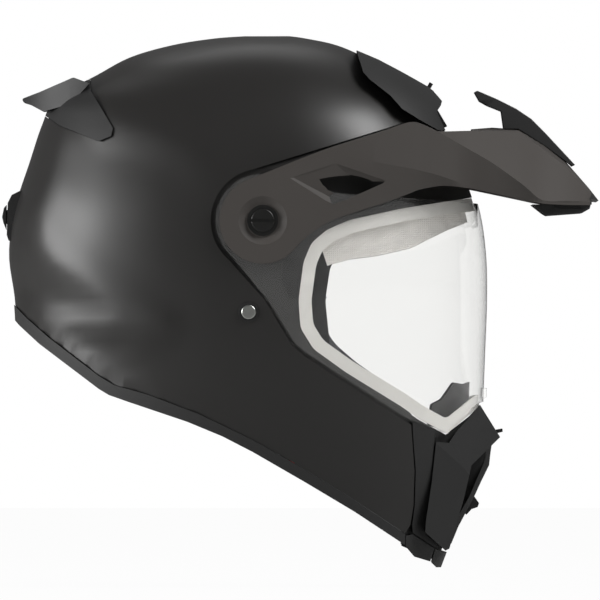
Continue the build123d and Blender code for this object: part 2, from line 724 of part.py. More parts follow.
def plate_screws():
    screws = []
    top = cup_floor + base_plate_wall
    for spot in plate_screw_spots():
        screw = disc(plate_screw_head_radius, -top - plate_screw_head_height, -top, spot)
        screws.append(screw + disc(plate_screw_radius, -top, -top + plate_screw_length, spot))
    return screws[0] + screws[1]


def pivot_knob():
    """The right quarter-turn knob that holds the peak's arm on the boss."""
    top = knob_seat + knob_flange_wall + knob_height
    solid = disc(knob_flange_radius, -knob_seat - knob_flange_wall, -knob_seat)
    cap = disc(knob_radius, -top, -knob_seat)
    cap = fillet(cap.edges().group_by(Axis.Y)[0], edge_round)
    solid += cap
    foot_top = cup_floor + knob_foot_pocket - running_gap
    solid += disc(knob_shank_radius, -knob_seat, -foot_top)
    solid += disc(knob_foot_radius, -foot_top, -foot_top + knob_foot_wall)
    half = knob_slot_width / 2
    slot = box_between(-knob_radius, knob_radius, -reach, knob_slot_depth - top, -half, half)
    return solid - Pos(PIVOT[0], 0, PIVOT[2]) * slot


def face_shield():
    sheet = (form(0) & slab(side_flat)) - (form(shield_wall) & slab(side_flat - shield_wall))
    outline = drawn(SHIELD_PX) + Pos(PIVOT[0], PIVOT[2]) * Circle(shield_eye_radius)
    sheet &= through(outline)
    return sheet - disc(boss_radius + running_gap, -reach, reach)


def shield_tab():
    tab = prism(SHIELD_TAB_PX, -shield_tab_half, shield_tab_half)
    return tab - form(-seat_play)


def peak_section(station, thick, x_shift=0.0):
    """One cross-section of the peak's outer form, or of its hollow if thick is the wall."""
    x_px, low_py, crease_py, ridge_py, centre_py, low_share, crease_share, ridge_share = station
    x = at((x_px, 0))[0] + x_shift
    low, crease, ridge, centre = (at((0, py))[2] for py in (low_py, crease_py, ridge_py, centre_py))
    half = [(arm_outer * share - thick, z) for share, z in (
        (low_share, low - 2 * thick), (crease_share, crease - thick / 4), (ridge_share, ridge - thick))]
    loop = half + [(0, centre - thick)] + [(-y, z) for y, z in reversed(half)]
    return Wire(Polyline(*[(x, y, z) for y, z in loop], close=True).edges())


def peak_form(thick=0.0):
    sections = [peak_section(station, thick) for station in PEAK_STATIONS_PX_SHARES]
    if thick:
        sections[-1] = peak_section(PEAK_STATIONS_PX_SHARES[-1], thick, -2 * thick)
    return Part([Solid.make_loft(sections, True)])


def peak():
    arm_walls = peak_form() - peak_form(peak_wall)
    solid = arm_walls & through(peak_outline())
    x_low, x_high = (at((px, 0))[0] for px in PEAK_WINDOW_PX_SPAN)
    solid -= box_between(x_low, x_high, -peak_window_half, peak_window_half, 0, far)
    solid += both(disc(arm_radius, arm_inner, arm_outer))
    solid -= both(prism(PEAK_SLOT_PX, y_low=arm_slot_low))
    solid -= both(disc(boss_radius + running_gap, arm_slot_low, reach))
    dish = Pos(PIVOT[0], -arm_outer, PIVOT[2]) * Rot(90, 0, 0) * Cone(
        dish_floor_radius, dish_radius, dish_depth, align=(Align.CENTER, Align.CENTER, Align.MAX))
    return solid - both(dish)


def peak_outline(grow=0.0):
    return drawn(PEAK_OUTLINE_PX, grow=grow) + Pos(PIVOT[0], PIVOT[2]) * Circle(arm_radius + grow)


def wedge(inset=0.0):
    """The plan of the scoop, narrowing to the front."""
    rear, front = (at((px, 0))[0] for px in SCOOP_PX_SPAN)
    plan = Polygon((rear, -scoop_rear_half + inset), (front, -scoop_front_half + inset),
                   (front, scoop_front_half - inset), (rear, scoop_rear_half - inset), align=None)
    return extrude(plan, amount=far, dir=(0, 0, 1))


def peak_scoop():
    blade = prism(SCOOP_BLADE_PX) & wedge()
    legs = prism(SCOOP_LEG_PX) & (wedge() - wedge(scoop_leg_wall))
    return blade + legs - Pos(0, 0, seat_gap) * peak_form()


def peak_tray():
    """The rim under the peak's front, with a window on each side and a rib down the middle."""
    def plan(inset):
        rear, front = (at((px, 0))[0] for px in PEAK_TRAY_PX_SPAN)
        front -= inset
        return extrude(Polygon((rear, inset - peak_tray_rear_half), (front, inset - peak_tray_front_half),
                               (front, peak_tray_front_half - inset), (rear, peak_tray_rear_half - inset),
                               align=None), amount=far, both=True)
    walls = plan(0) - plan(peak_tray_wall) + (plan(0) & slab(peak_tray_wall / 2))
    return (prism(PEAK_TRAY_PX) & walls) - (prism(PEAK_TRAY_WINDOW_PX) - slab(peak_tray_wall))


def facet_space(inset):
    """Everything inside the chin cover's facets, drawn in by inset."""
    space = Box(2 * far, 2 * far, 2 * far)
    inner = Vector(*at(CHIN_MIDDLE_PX))
    for corners in CHIN_FACETS:
        p, q, r = (Vector(*at((x, y), half)) for x, y, half in corners)
        normal = (q - p).cross(r - p).normalized()
        if normal.dot(inner - p) > 0:
            normal = -normal
        below = Pos(0, 0, -far) * Box(4 * far, 4 * far, 2 * far)
        half_space = Plane(origin=p - normal * inset, z_dir=normal) * below
        space &= half_space & mirror(half_space, about=Plane.XZ)
    return space


def chin_cover():
    solid = prism(CHIN_COVER_PX) & facet_space(0)
    solid -= prism(CHIN_HOLLOW_PX) & facet_space(chin_cover_wall)
    slot_half = chin_stick_half + chin_slider_travel + layer_gap
    solid -= prism(CHIN_STICK_SLOT_PX, -slot_half, slot_half)
    solid -= prism(CHIN_FRAME_FACE_PX, grow=layer_gap) & form(-layer_gap)
    return solid - form(cover_seat)


def chin_grille():
    def body(inset):
        plan_points = [(at((px, 0))[0] - inset * grille_nose_share, y - inset) for px, y in CHIN_GRILLE_PLAN]
        plan = Polygon(*(plan_points + [(x, -y) for x, y in reversed(plan_points)]), align=None)
        side = through(drawn(CHIN_GRILLE_PX, grow=-inset))
        return side & extrude(plan, amount=far, both=True) & facet_space(chin_cover_wall + layer_gap + inset)
    solid = body(0) - body(grille_wall)
    solid -= prism(CHIN_GRILLE_REAR_PX)
    slots = []
    for n in range(GRILLE_SLOTS):
        z = at((0, GRILLE_TOP_PX))[2] - grille_pitch * n
        slots.append(box_between(0, far, -grille_slot_half, -grille_rib_half, z - grille_slot, z))
    slots = both(Part() + slots) & facet_space(chin_cover_wall + layer_gap + grille_side)
    side = chin_lever_half + grille_lever_side
    slots -= prism(CHIN_LEVER_GAP_PX, -side, side)
    solid -= slots
    wide = chin_lever_half + layer_gap
    solid -= prism(CHIN_LEVER_GAP_PX, -wide, wide)
    solid += both(prism(CHIN_LEVER_LUG_PX, wide, wide + chin_lug_wall))
    wide += chin_lug_wall + layer_gap
    solid -= disc(small_pin_radius + running_gap, -wide, wide, at(CHIN_LEVER_PIN_PX))
    return solid - form(-layer_gap)


def chin_lever():
    solid = prism(CHIN_LEVER_PX, -chin_lever_half, chin_lever_half, corner=lever_corner)
    reach_out = chin_lever_half + layer_gap + chin_lug_wall
    return solid + disc(small_pin_radius, -reach_out, reach_out, at(CHIN_LEVER_PIN_PX))


def chin_slider():
    """The shutter behind the chin vent, with the stick that moves it sideways."""
    solid = prism(CHIN_SLIDER_PX, -chin_slider_half, chin_slider_half)
    z = at((0, chin_stick_low))[2]
    sides = box_between(0, far, chin_stick_half, far, z, far)
    return solid - both(sides)


def chin_frame():
    solid = form(chin_frame_outer) & prism(CHIN_FRAME_PX)
    solid += form(0) & prism(CHIN_FRAME_FACE_PX)
    return solid - form(chin_frame_inner)


def chin_skirt():
    return band(0, skirt_wall) & prism(CHIN_SKIRT_PX, y_high=0)


def chin_cap():
    return band(0, skirt_wall) & prism(CHIN_CAP_PX)


def rivet():
    """The right strap rivet."""
    head_low = rivet_seat + rivet_ring_wall
    solid = disc(rivet_head_radius, -head_low - rivet_head_height, -head_low, RIVET)
    solid = fillet(solid.edges().group_by(Axis.Y)[0], edge_round)
    tail = STRAP_PATH[0][0] - strap_wall / 2 - running_gap
    solid += disc(rivet_shank_radius, -head_low, -tail, RIVET)
    return solid + disc(rivet_tail_radius, -tail, -tail + rivet_tail_wall, RIVET)


def rivet_ring():
    ring = disc(rivet_ring_radius, -rivet_seat - rivet_ring_wall, -rivet_seat, RIVET)
    return ring - disc(rivet_shank_radius + running_gap, -reach, 0, RIVET)


def strap(y_end):
    """The left strap, from its rivet down and across to y_end."""
    path = [(y, z) for y, z in STRAP_PATH[:-1]] + [(y_end, STRAP_PATH[-1][1])]
    line = FilletPolyline(*path, radius=strap_bend)
    ribbon = Plane.YZ * trace(line, line_width=strap_wall)
    solid = strap_place() * extrude(ribbon, amount=strap_width / 2, both=True)
    return solid - disc(rivet_shank_radius + running_gap, 0, reach, RIVET)


def buckle_frame():
    return strap_place() * Pos(0, 0, STRAP_PATH[-1][1])


def buckle_housing():
    wide, high = buckle_width / 2, buckle_height / 2
    solid = box_between(-wide, wide, -buckle_half, buckle_half, -high, high)
    solid = fillet(solid.edges(), buckle_round)
    slot_end = housing_slot_depth - buckle_half
    half = strap_width / 2 + layer_gap
    solid -= box_between(-half, half, -far, slot_end, -buckle_slot / 2, buckle_slot / 2)
    half = tongue_width / 2 + slide_gap
    solid -= box_between(-half, half, slot_end + housing_bridge, far, -buckle_slot / 2, buckle_slot / 2)
    near = lever_width / 2 + slide_gap
    y = lever_pin_back - buckle_half
    lug = box_between(near, near + lug_wall, y - lug_half_length, y + lug_half_length,
                      -high - lug_height, lug_sunk - high)
    solid += lug + mirror(lug, about=Plane.YZ)
    return buckle_frame() * (solid - lever_pin(running_gap, lug_wall + layer_gap))


def lever_pin(gap, over):
    """The lever's pin, which reaches over past each side of the lever."""
    pin = Rot(0, 90, 0) * Cylinder(small_pin_radius + gap, lever_width + 2 * over)
    return Pos(0, lever_pin_back - buckle_half, -(buckle_height + lug_height) / 2) * pin


def buckle_lever():
    half, z = lever_width / 2, -(buckle_height + lug_height) / 2
    start = lever_pin_back - buckle_half - small_pin_radius
    end = start + lever_length
    plate = box_between(-half, half, start, end, z - lever_wall / 2, z + lever_wall / 2)
    plate = fillet(plate.edges().filter_by(Axis.Z), lever_round)
    half -= lever_lip_inset
    lip = box_between(-half, half, end - lever_lip_length, end, z - lever_lip_depth, z)
    return buckle_frame() * (plate + lip + lever_pin(0, slide_gap + lug_wall))


def buckle_tongue():
    half, near = tongue_width / 2, buckle_half + buckle_gap
    blade = box_between(-half, half, near - tongue_length, near, -tongue_wall / 2, tongue_wall / 2)
    wide, high = buckle_width / 2, tongue_block_height / 2
    block = box_between(-wide, wide, near, near + tongue_block_length, -high, high)
    block = fillet(block.edges(), buckle_round)
    half = strap_width / 2 + layer_gap
    block -= box_between(-half, half, near + tongue_slot_floor, far, -buckle_slot / 2, buckle_slot / 2)
    return buckle_frame() * (blade + block)


strap_right_end = buckle_half - housing_slot_depth + layer_gap
strap_left_end = buckle_half + buckle_gap + tongue_slot_floor + layer_gap

singles = {
    "outer_shell": outer_shell, "eps_liner": eps_liner, "crown_pad": crown_pad, "neck_roll": neck_roll,
    "chin_bar_liner": chin_liner, "chin_curtain": chin_curtain, "eyeport_gasket": gasket,
    "nose_deflector": deflector, "bottom_edge_trim": edge_trim, "rear_spoiler": rear_spoiler,
    "top_vent_cover": vent_cover, "top_vent_grille": vent_grille, "top_vent_slider": vent_slider,
    "rear_vent_housing": rear_vent, "rear_vent_slider": rear_slider, "face_shield": face_shield,
    "shield_tab": shield_tab, "peak": peak, "peak_scoop": peak_scoop, "peak_tray": peak_tray,
    "chin_frame": chin_frame, "chin_cover": chin_cover, "chin_grille": chin_grille,
    "chin_vent_lever": chin_lever, "chin_vent_slider": chin_slider, "chin_skirt_cap": chin_cap,
    "buckle_housing": buckle_housing, "buckle_lever": buckle_lever, "buckle_tongue": buckle_tongue,
}
pairs = {
    "cheek_pad": cheek_pad, "shield_lock_plate": lock_plate, "base_plate": base_plate,
    "base_plate_screws": plate_screws, "pivot_knob": pivot_knob, "chin_skirt": chin_skirt,
    "strap_rivet": rivet, "rivet_ring": rivet_ring,
}

for name, make in singles.items():
    write(name, make())
for name, make in pairs.items():
    right = make()
    write(name + "_right", right)
    write(name + "_left", mirror(right, about=Plane.XZ))
write("chin_strap_left", strap(strap_left_end))
write("chin_strap_right", mirror(strap(strap_right_end), about=Plane.XZ))
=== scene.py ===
"""Dual sport helmet: the dressed model, built as a Blender add-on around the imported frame.

Everything is in metres in the frame's axes: X forward, Y to the wearer's left, Z up. Outlines
are side views in pixels of the photograph, turned into metres by at().
"""

from math import atan2, copysign, cos, hypot, pi, radians, sin

import bpy
from mathutils import Matrix, Vector


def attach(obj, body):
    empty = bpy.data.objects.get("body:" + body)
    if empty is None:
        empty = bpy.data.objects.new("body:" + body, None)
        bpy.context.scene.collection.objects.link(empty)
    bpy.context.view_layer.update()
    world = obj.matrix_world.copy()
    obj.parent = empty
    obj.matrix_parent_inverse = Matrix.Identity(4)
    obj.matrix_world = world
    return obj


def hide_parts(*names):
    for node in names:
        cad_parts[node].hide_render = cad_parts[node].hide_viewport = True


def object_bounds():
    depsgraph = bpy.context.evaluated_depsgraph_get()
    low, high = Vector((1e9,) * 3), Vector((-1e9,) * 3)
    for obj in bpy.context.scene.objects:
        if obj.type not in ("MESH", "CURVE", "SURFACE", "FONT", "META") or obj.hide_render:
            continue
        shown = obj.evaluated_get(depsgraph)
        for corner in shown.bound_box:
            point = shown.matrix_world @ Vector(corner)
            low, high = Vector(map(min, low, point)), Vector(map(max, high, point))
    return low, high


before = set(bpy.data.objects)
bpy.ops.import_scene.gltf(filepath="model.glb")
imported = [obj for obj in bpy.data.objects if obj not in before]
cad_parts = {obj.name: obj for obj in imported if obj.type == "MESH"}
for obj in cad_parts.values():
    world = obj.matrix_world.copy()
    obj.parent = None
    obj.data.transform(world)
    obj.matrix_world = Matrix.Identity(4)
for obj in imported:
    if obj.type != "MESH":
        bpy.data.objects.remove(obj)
CAD_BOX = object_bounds()

bl_info = {
    "name": "Dual sport helmet",
    "version": (1, 0, 0),
    "blender": (4, 5, 0),
    "location": "View3D > Sidebar > Helmet",
    "description": "Builds the dressed helmet around its packed frame",
    "category": "Object",
}

MM = 0.001
FRAME_PX = 600
SPAN_PX = 478
HEAD_PX = (240, 270)
FAR = 0.4

# Level sections of the form: height, back and front (pixels), half width as a share, power
LEVELS_PX_SHARES = [
    (570, 62, 440, 0.68, 2.0), (541, 54, 451, 0.73, 2.0), (512, 46, 462, 0.78, 2.0),
    (485, 39, 474, 0.827, 2.0), (458, 32, 482, 0.87, 2.0), (411, 23, 483, 0.935, 2.1),
    (356, 18, 485, 0.98, 2.2), (301, 15, 487, 1.0, 2.3), (254, 9, 486, 1.0, 2.35),
    (208, 15, 479, 0.985, 2.4), (161, 30, 462, 0.94, 2.4), (125, 42, 444, 0.88, 2.4),
    (98, 56, 423, 0.80, 2.4), (75, 97, 394, 0.70, 2.3), (57, 131, 364, 0.58, 2.2),
    (45, 173, 336, 0.44, 2.1), (38.5, 214, 306, 0.27, 2.0), (36.2, 245, 290, 0.13, 2.0),
]
PIVOT_PX = (263, 221)
RIVET_PX = (249, 312)
BOTTOM_PX = [
    (-80, 303), (13, 303), (28, 318), (50, 337), (75, 356), (100, 375), (115, 384), (150, 394),
    (200, 413), (250, 437), (300, 465), (350, 496), (404, 532), (415, 541), (446, 560),
    (620, 560), (620, 700), (-80, 700),
]
EYE_PORT_PX = [
    (298, 300), (303, 262), (311, 243), (326, 230), (350, 220), (400, 209), (475, 197),
    (620, 190), (620, 406), (478, 408), (446, 434), (414, 416), (400, 406), (345, 372),
    (313, 349), (300, 328),
]
SHIELD_ZONE_PX = [
    (248, 172), (415, 120), (452, 124), (620, 124), (620, 428), (414, 426), (405, 421),
    (305, 356), (292, 345), (283, 330), (265, 300), (222, 252), (240, 200),
]
CHIN_LINE_PX = [
    (409, 380), (411, 430), (414, 470), (413, 505), (410, 524), (404, 534), (400, 620),
    (640, 620), (640, 380),
]
SHIELD_PX = [
    (250, 176), (300, 187), (345, 194), (480, 204), (620, 204), (620, 398), (480, 402),
    (453, 426), (447, 434), (404, 416), (306, 352), (294, 342), (286, 328), (267, 298),
    (228, 252), (240, 200),
]
LOCK_PLATE_PX = [(286, 259), (302, 258), (297, 298), (290, 299), (281, 279)]
SPOILER_PX = [(20, 80), (90, 80), (92, 92), (114, 129), (112, 137), (100, 142), (60, 126), (40, 112)]
SPOILER_LIP_PX = [(22, 99), (40, 92.5), (74, 78), (90, 84), (72, 104), (44, 112), (31, 105), (24, 103)]
# The lip's round plan: its centre and its rearmost point
SPOILER_CENTRE_PX = (146, 99)
SPOILER_TIP_PX = (22, 99)
EDGE_TRIM_PX = [
    (-80, 280), (13, 280), (404.8, 480), (404.8, 544.3), (354, 510.5), (304, 480.5), (253, 451),
    (223, 435.5), (188, 421), (130, 401.5), (110, 394.5), (100, 388.5), (60, 358.5), (40, 343.5),
    (20, 325.5), (12, 317), (-80, 317),
]
VENT_COVER_PX = [
    (356.5, 51), (378, 60), (400, 71.5), (430, 88), (441, 97.5), (442, 101), (440.5, 106),
    (436.5, 112), (445, 130.8), (437, 130.5), (420, 121), (402, 110), (390, 96.5), (369, 80),
    (363, 73), (358, 57),
]
VENT_MOUTH_PX = [(431, 111), (438, 108), (450, 127), (443, 129)]
VENT_SLIDER_PX = (428.5, 88)
VENT_SLIDER_REAR_PX = (404, 73.5)
CHIN_FRAME_PX = [
    (402, 437), (411.7, 437), (411.2, 415), (414, 417), (446, 435), (479, 408.8), (520, 408.8),
    (520, 580), (446, 560), (431, 558.5), (414, 553), (405.5, 543), (405.5, 533), (402, 530),
]
CHIN_FRAME_FACE_PX = [
    (412, 421.5), (434, 431), (433.8, 442), (430, 480), (424.3, 528), (426, 534), (440, 546),
    (434, 546.5), (412.5, 532), (411.8, 524), (414.3, 505), (415.3, 470), (412.3, 432),
]
CHIN_SKIRT_PX = [(405.5, 535), (412, 533.5), (434, 548), (430, 561), (414, 556), (405.5, 546)]
CHIN_CAP_PX = [(435, 548.5), (460, 556), (460, 568), (436, 567), (431, 562)]
DEFLECTOR_PX = [
    (428, 425), (431, 404), (441, 399), (453, 382), (463, 384), (471, 381), (490, 394), (490, 402),
    (478, 406), (446, 431),
]
CROWN_PAD_CUT_PX = [
    (-80, 276), (184, 276), (184, 236), (340, 236), (346, 245), (380, 240), (420, 228), (456, 213),
    (640, 205), (640, 640), (-80, 640),
]
FACE_PX = [
    (325, 300), (330, 267), (346, 246), (380, 239), (420, 227), (456, 212), (640, 200),
    (640, 420), (440, 452), (400, 425), (350, 390), (330, 350),
]
CHEEK_PAD_PX = [
    (190, 240), (331, 240), (328, 266), (323, 290), (321, 312), (325, 328), (334, 343),
    (356, 362), (392, 387), (418, 402), (392, 434), (345, 438), (262, 400), (210, 380), (190, 374),
]
NECK_ROLL_PX = [(-60, 280), (112, 280), (128, 296), (128, 382), (100, 366), (60, 336), (20, 310), (-60, 306)]
CHIN_LINER_PX = [(402, 429), (446, 452), (470, 440), (500, 440), (500, 530), (448, 524), (402, 505)]
CURTAIN_PX = [(352, 491), (402, 524.7), (440, 550), (440, 553.2), (402, 528), (352, 494.4)]

# Rows of the peak's right side from the arm to the tip: pixel x, pixel y, half width in millimetres
PEAK_LOW_PX_MM = [
    (308, 236, 125), (330, 222, 123.4), (360, 211.2, 120.6), (385, 203.2, 116.8), (408, 194.5, 113),
    (420, 190, 110.6), (440, 186.7, 106.9), (455, 187.3, 103.6), (470, 189.3, 98.6), (490, 193.4, 93.5),
    (520, 199.8, 84.5), (541, 204, 79.5), (565, 205.3, 63.5), (586, 205.4, 51), (591, 204.8, 42),
]
PEAK_FOLD_PX_MM = [
    (304, 175, 125), (331, 162, 124.3), (360, 160.5, 122.4), (385, 165, 119.4), (408, 169, 115.9),
    (420, 171.6, 113.6), (437, 176, 110.3), (452, 181, 106.2), (467, 186.3, 99.8), (490, 190, 94.2),
    (520, 197.6, 85.2), (541, 202.5, 79.7), (565, 203.2, 63.7), (586, 202.8, 51.2), (591, 202.4, 42.2),
]
PEAK_CREASE_PX_MM = [
    (300, 160, 125), (332, 148, 123.9), (360, 139.3, 121.4), (385, 131, 118), (408, 123.6, 114.4),
    (420, 124.8, 112.3), (437, 132.6, 109.3), (450, 140, 106.9), (470, 151.5, 102.9), (490.4, 163.3, 98.1),
    (520.5, 184.4, 89.5), (540.6, 200.3, 80.5), (565, 201.2, 64.5), (584.7, 201, 52), (590.3, 198.6, 43),
]
PEAK_RIDGE_PX_MM = [
    (437, 132.6, 109.3), (450, 132.4, 98), (470, 132, 86.3), (490, 131.8, 71), (518.5, 131.8, 50),
    (545, 151.5, 43), (564.7, 166.3, 38), (588.8, 190.4, 32.5), (594.6, 199.8, 25),
]
PEAK_ROOF_PX_MM = [
    (444, 131.6, 0), (452, 131, 0), (470, 129.3, 0), (492, 127.6, 0), (518.5, 129.3, 0),
    (545, 144.2, 0), (564.7, 160.4, 0), (588.8, 188, 0), (598.6, 200.6, 0),
]
# Where the arm's round end leaves its upper and lower edges
PEAK_ARM_END_PX = [(250, 180), (285, 258)]
# The roof's rear edge is cut back in the middle, so the raised peak clears the top vent
PEAK_NOTCH_PX = [(430, 118), (471, 118), (471, 142), (430, 142)]
# Ahead of this pixel the peak is its bare nylon lip
PEAK_LIP_PX = (589.6, 202)
PEAK_SLOT_PX = [(328.7, 196.8), (358, 182.4), (384, 182.4), (382, 184.3), (343, 201.6), (331.6, 205.4)]
# The sunk ramp above the slot: corners of its mouth and of its floor
PEAK_RAMP_PX_MM = [(290, 179, 125), (336, 164.6, 124), (385, 181.5, 117.4), (331.4, 205.2, 123.9)]
PEAK_RAMP_FLOOR_PX_MM = [(294, 178.8, 124.9), (338, 167.5, 123.5), (357, 182.4, 118.6), (328.8, 197.4, 122)]
# The dark strips behind the two ends of the seam between the shell and the chin
UPPER_SEAM_PX = [(407, 414), (415, 417), (415, 438), (407, 438)]
LOWER_SEAM_PX = [(401, 529), (410, 532), (410, 549), (401, 545)]
STRAP_PATH_MM = [(112.6, 8.0), (112.6, -14.0), (94.0, -54.0), (91.5, -84.0), (76.0, -93.0)]
BROW_PX = [
    (318, 238), (327, 266), (333, 264), (349, 259.5), (377, 256), (409, 249), (423, 242), (446, 230.6),
    (475, 219), (500, 210), (500, 186), (400, 205), (350, 216),
]
# The two upright webs inside the chin vent, one on each side of its slide
CHIN_WEB_PX = [
    (459, 474), (472, 462), (485.6, 450.2), (485.4, 458), (482.2, 470), (474.3, 488), (466, 503),
    (459, 520), (448, 540), (440, 530),
]
CHIN_COVER_PX = [
    (435.5, 441.5), (448.5, 442.3), (456, 431), (480, 405), (500, 437), (471, 465), (463.5, 498),
    (449, 548), (445, 550), (424.8, 531.5), (425.5, 520), (431.5, 480),
]

# Soft creases of the shell, with how far each lifts it and spreads, in millimetres and pixels
CREASES_PX_MM = [
    ([(112, 120), (150, 128), (185, 142), (224, 174)], 1.8, 34),
    ([(64, 128), (50, 180), (30, 228)], 2.2, 26),
    ([(26, 230), (60, 262), (100, 290), (145, 326)], 2.6, 34),
    ([(28, 310), (50, 321), (100, 327), (170, 328)], 2.2, 15),
]
CREASE_RISE_MM = 2.6

# Sizes in millimetres: a flat is a distance from the mid-plane, the waist is the widest section's place
WAIST_MM = 5
GAP_MM = 0.3
RECESS_MM, RECESS_FLAT_MM = 2.4, 117.0
ARM_POCKET_RADIUS_MM, ARM_POCKET_FLAT_MM = 33, 113.5
SHELL_INSIDE_MM, SHELL_INSIDE_FLAT_MM = 6.5, 109
PORT_CORNER_MM = 2.5
RIVET_SEAT_RADIUS_MM, RIVET_SEAT_FLAT_MM = 6.7, 121.0
GASKET_DEPTH_MM, GASKET_FLAT_MM, GASKET_INSIDE_MM, GASKET_WIDTH_MM = 2.8, 116.6, 9, 8.5
SHIELD_FLAT_MM, SHIELD_WALL_MM, SHIELD_EAR_RADIUS_MM = 119.4, 2, 30
BOSS_BORE_RADIUS_MM = 9.05
PEAK_WALL_MM, PEAK_EDGE_MM = 2.2, 0.9
PEAK_ARM_FLAT_MM, PEAK_ARM_RADIUS_MM = 125, 27.5
# The dish round each knob: radius and flat of its rings
PEAK_DISH_MM = [(15.9, 125.2), (15.4, 125), (10.5, 122.9)]
FOAM_OUTSIDE_MM, FOAM_RECESS_MM, FOAM_FLAT_MM, FOAM_INSIDE_MM = 4.5, 5.7, 113.0, 32
PAD_OUTSIDE_MM = 32.6
# How many steps lie between two points of a row of the peak
ROW_STEPS = 5


class HelmetSizes(bpy.types.PropertyGroup):
    """The sizes and colours that a user would change."""
    shell_length: bpy.props.FloatProperty(
        name="Shell length", description="Back of the shell to the front of the shield",
        default=0.306, min=0.25, max=0.36, subtype="DISTANCE", unit="LENGTH")
    half_width: bpy.props.FloatProperty(
        name="Half width", description="Mid-plane to the side of the shell",
        default=0.1225, min=0.1, max=0.15, subtype="DISTANCE", unit="LENGTH")
    around: bpy.props.IntProperty(
        name="Points around", description="Points around one level of the shell",
        default=128, min=24, max=256)
    levels: bpy.props.IntProperty(
        name="Levels", description="Levels from the rim to the crown", default=84, min=20, max=200)
    paint: bpy.props.StringProperty(
        name="Paint", description="Colour of the shell's matt paint", default="#262524")
    trim: bpy.props.StringProperty(
        name="Trim", description="Colour of the moulded trim", default="#242424")
    gasket: bpy.props.StringProperty(
        name="Gasket", description="Colour of the eye port gasket", default="#E8E6E2")
    floor_drop: bpy.props.FloatProperty(
        name="Floor drop", description="Height of the lowest point above the floor",
        default=0.012, min=0.0, max=0.5, subtype="DISTANCE", unit="LENGTH")


def sizes():
    return bpy.context.scene.helmet_sizes


def px_size():
    """The length of one pixel of the photograph."""
    return sizes().shell_length / SPAN_PX


def at(spot, y=0.0):
    """The point of the side view that a pixel shows."""
    return Vector(((spot[0] - HEAD_PX[0]) * px_size(), y, (HEAD_PX[1] - spot[1]) * px_size()))


# Materials

def linear(colour):
    """An sRGB hex value as linear light."""
    values = [int(colour[i:i + 2], 16) / 255 for i in (1, 3, 5)]
    return [v / 12.92 if v <= 0.04045 else ((v + 0.055) / 1.055) ** 2.4 for v in values] + [1.0]


def node(tree, kind, links=(), **settings):
    """Adds a node with its settings; links are (input, socket) pairs into it."""
    made = tree.nodes.new(kind)
    for name, value in settings.items():
        if name in made.inputs:
            made.inputs[name].default_value = value
        else:
            setattr(made, name, value)
    for name, socket in links:
        tree.links.new(made.inputs[name], socket)
    return made


def grain(tree, scale, detail=3.0):
    """Noise over the piece's own coordinates, its scale in cells per metre."""
    place = node(tree, "ShaderNodeTexCoord")
    return node(tree, "ShaderNodeTexNoise", [("Vector", place.outputs["Object"])], Scale=scale, Detail=detail)


def surface(name, colour, roughness, shade=0.08, patch_mm=30.0, grain_mm=0.8, bump=0.05, **settings):
    """A moulded, painted or cast surface: slight patches of tone and wear, and a fine grain."""
    if name in bpy.data.materials:
        return bpy.data.materials[name]
    material = bpy.data.materials.new(name)
    material.use_nodes = True
    tree = material.node_tree
    shader = tree.nodes["Principled BSDF"]
    tone = linear(colour)
    patches = grain(tree, 1 / (patch_mm * MM))
    mix = node(tree, "ShaderNodeMix", [("Factor", patches.outputs["Fac"])], data_type="RGBA")
    mix.inputs[6].default_value = [c * (1 - shade) for c in tone[:3]] + [1]
    mix.inputs[7].default_value = [min(1, c * (1 + shade)) for c in tone[:3]] + [1]
    tree.links.new(shader.inputs["Base Color"], mix.outputs[2])
    rough = node(tree, "ShaderNodeMapRange", [("Value", patches.outputs["Fac"])])
    rough.inputs["To Min"].default_value = roughness * 0.94
    rough.inputs["To Max"].default_value = min(1, roughness * 1.06)
    tree.links.new(shader.inputs["Roughness"], rough.outputs[0])
    fine = grain(tree, 1 / (grain_mm * MM), 2.0)
    relief = node(tree, "ShaderNodeBump", [("Height", fine.outputs["Fac"])], Strength=bump, Distance=0.0002)
    tree.links.new(shader.inputs["Normal"], relief.outputs["Normal"])
    for setting, value in settings.items():
        shader.inputs[setting.replace("_", " ")].default_value = value
    return material


def shell_paint():
    """Matt paint on a moulded fibre shell: an even, soft sheen that fades over a broad lobe."""
    return surface("matt_shell_paint", sizes().paint, 0.38, shade=0.03, patch_mm=60, grain_mm=0.6, bump=0.03,
                   IOR=1.5)


def peak_paint_with_painted_light():
    """Matt paint on the moulded peak, rougher than on the shell. Its colour is paler than the shell's as
    painted light, standing in for the brighter light that falls on the peak.
    """
    return surface("matt_peak_paint", "#46423F", 0.55, shade=0.03, patch_mm=60, grain_mm=0.6, bump=0.03,
                   IOR=1.5)


def moulded_trim():
    """Injection moulded nylon with a fine spark-eroded texture, a little duller than the paint."""
    return surface("textured_nylon_trim", sizes().trim, 0.55, shade=0.05, patch_mm=25, grain_mm=0.7,
                   bump=0.08, IOR=1.5)


def dark_nylon():
    """Black nylon of the grilles, sliders and levers: deeper than the trim around it."""
    return surface("black_nylon", "#1D1D1D", 0.48, shade=0.06, patch_mm=12, grain_mm=0.5, bump=0.06, IOR=1.5)


def pivot_plastic():
    """Acetal of the pivot stack: near black, with a slight polish from turning."""
    return surface("acetal_pivot_plastic", "#161615", 0.36, shade=0.1, patch_mm=8, grain_mm=0.4, bump=0.04,
                   IOR=1.48)


def soft_rubber():
    """Moulded black rubber of the rim trim and the skirts: soft, dull edges."""
    return surface("moulded_black_rubber", "#2B2B2B", 0.62, shade=0.06, patch_mm=20, grain_mm=0.8, bump=0.08,
                   IOR=1.5)


def gasket_rubber():
    """Pale grey silicone of the eye port: matt, with a faint bloom of dust in its patches."""
    return surface("pale_silicone_gasket", sizes().gasket, 0.55, shade=0.05, patch_mm=15, grain_mm=0.9,
                   bump=0.06, IOR=1.41)


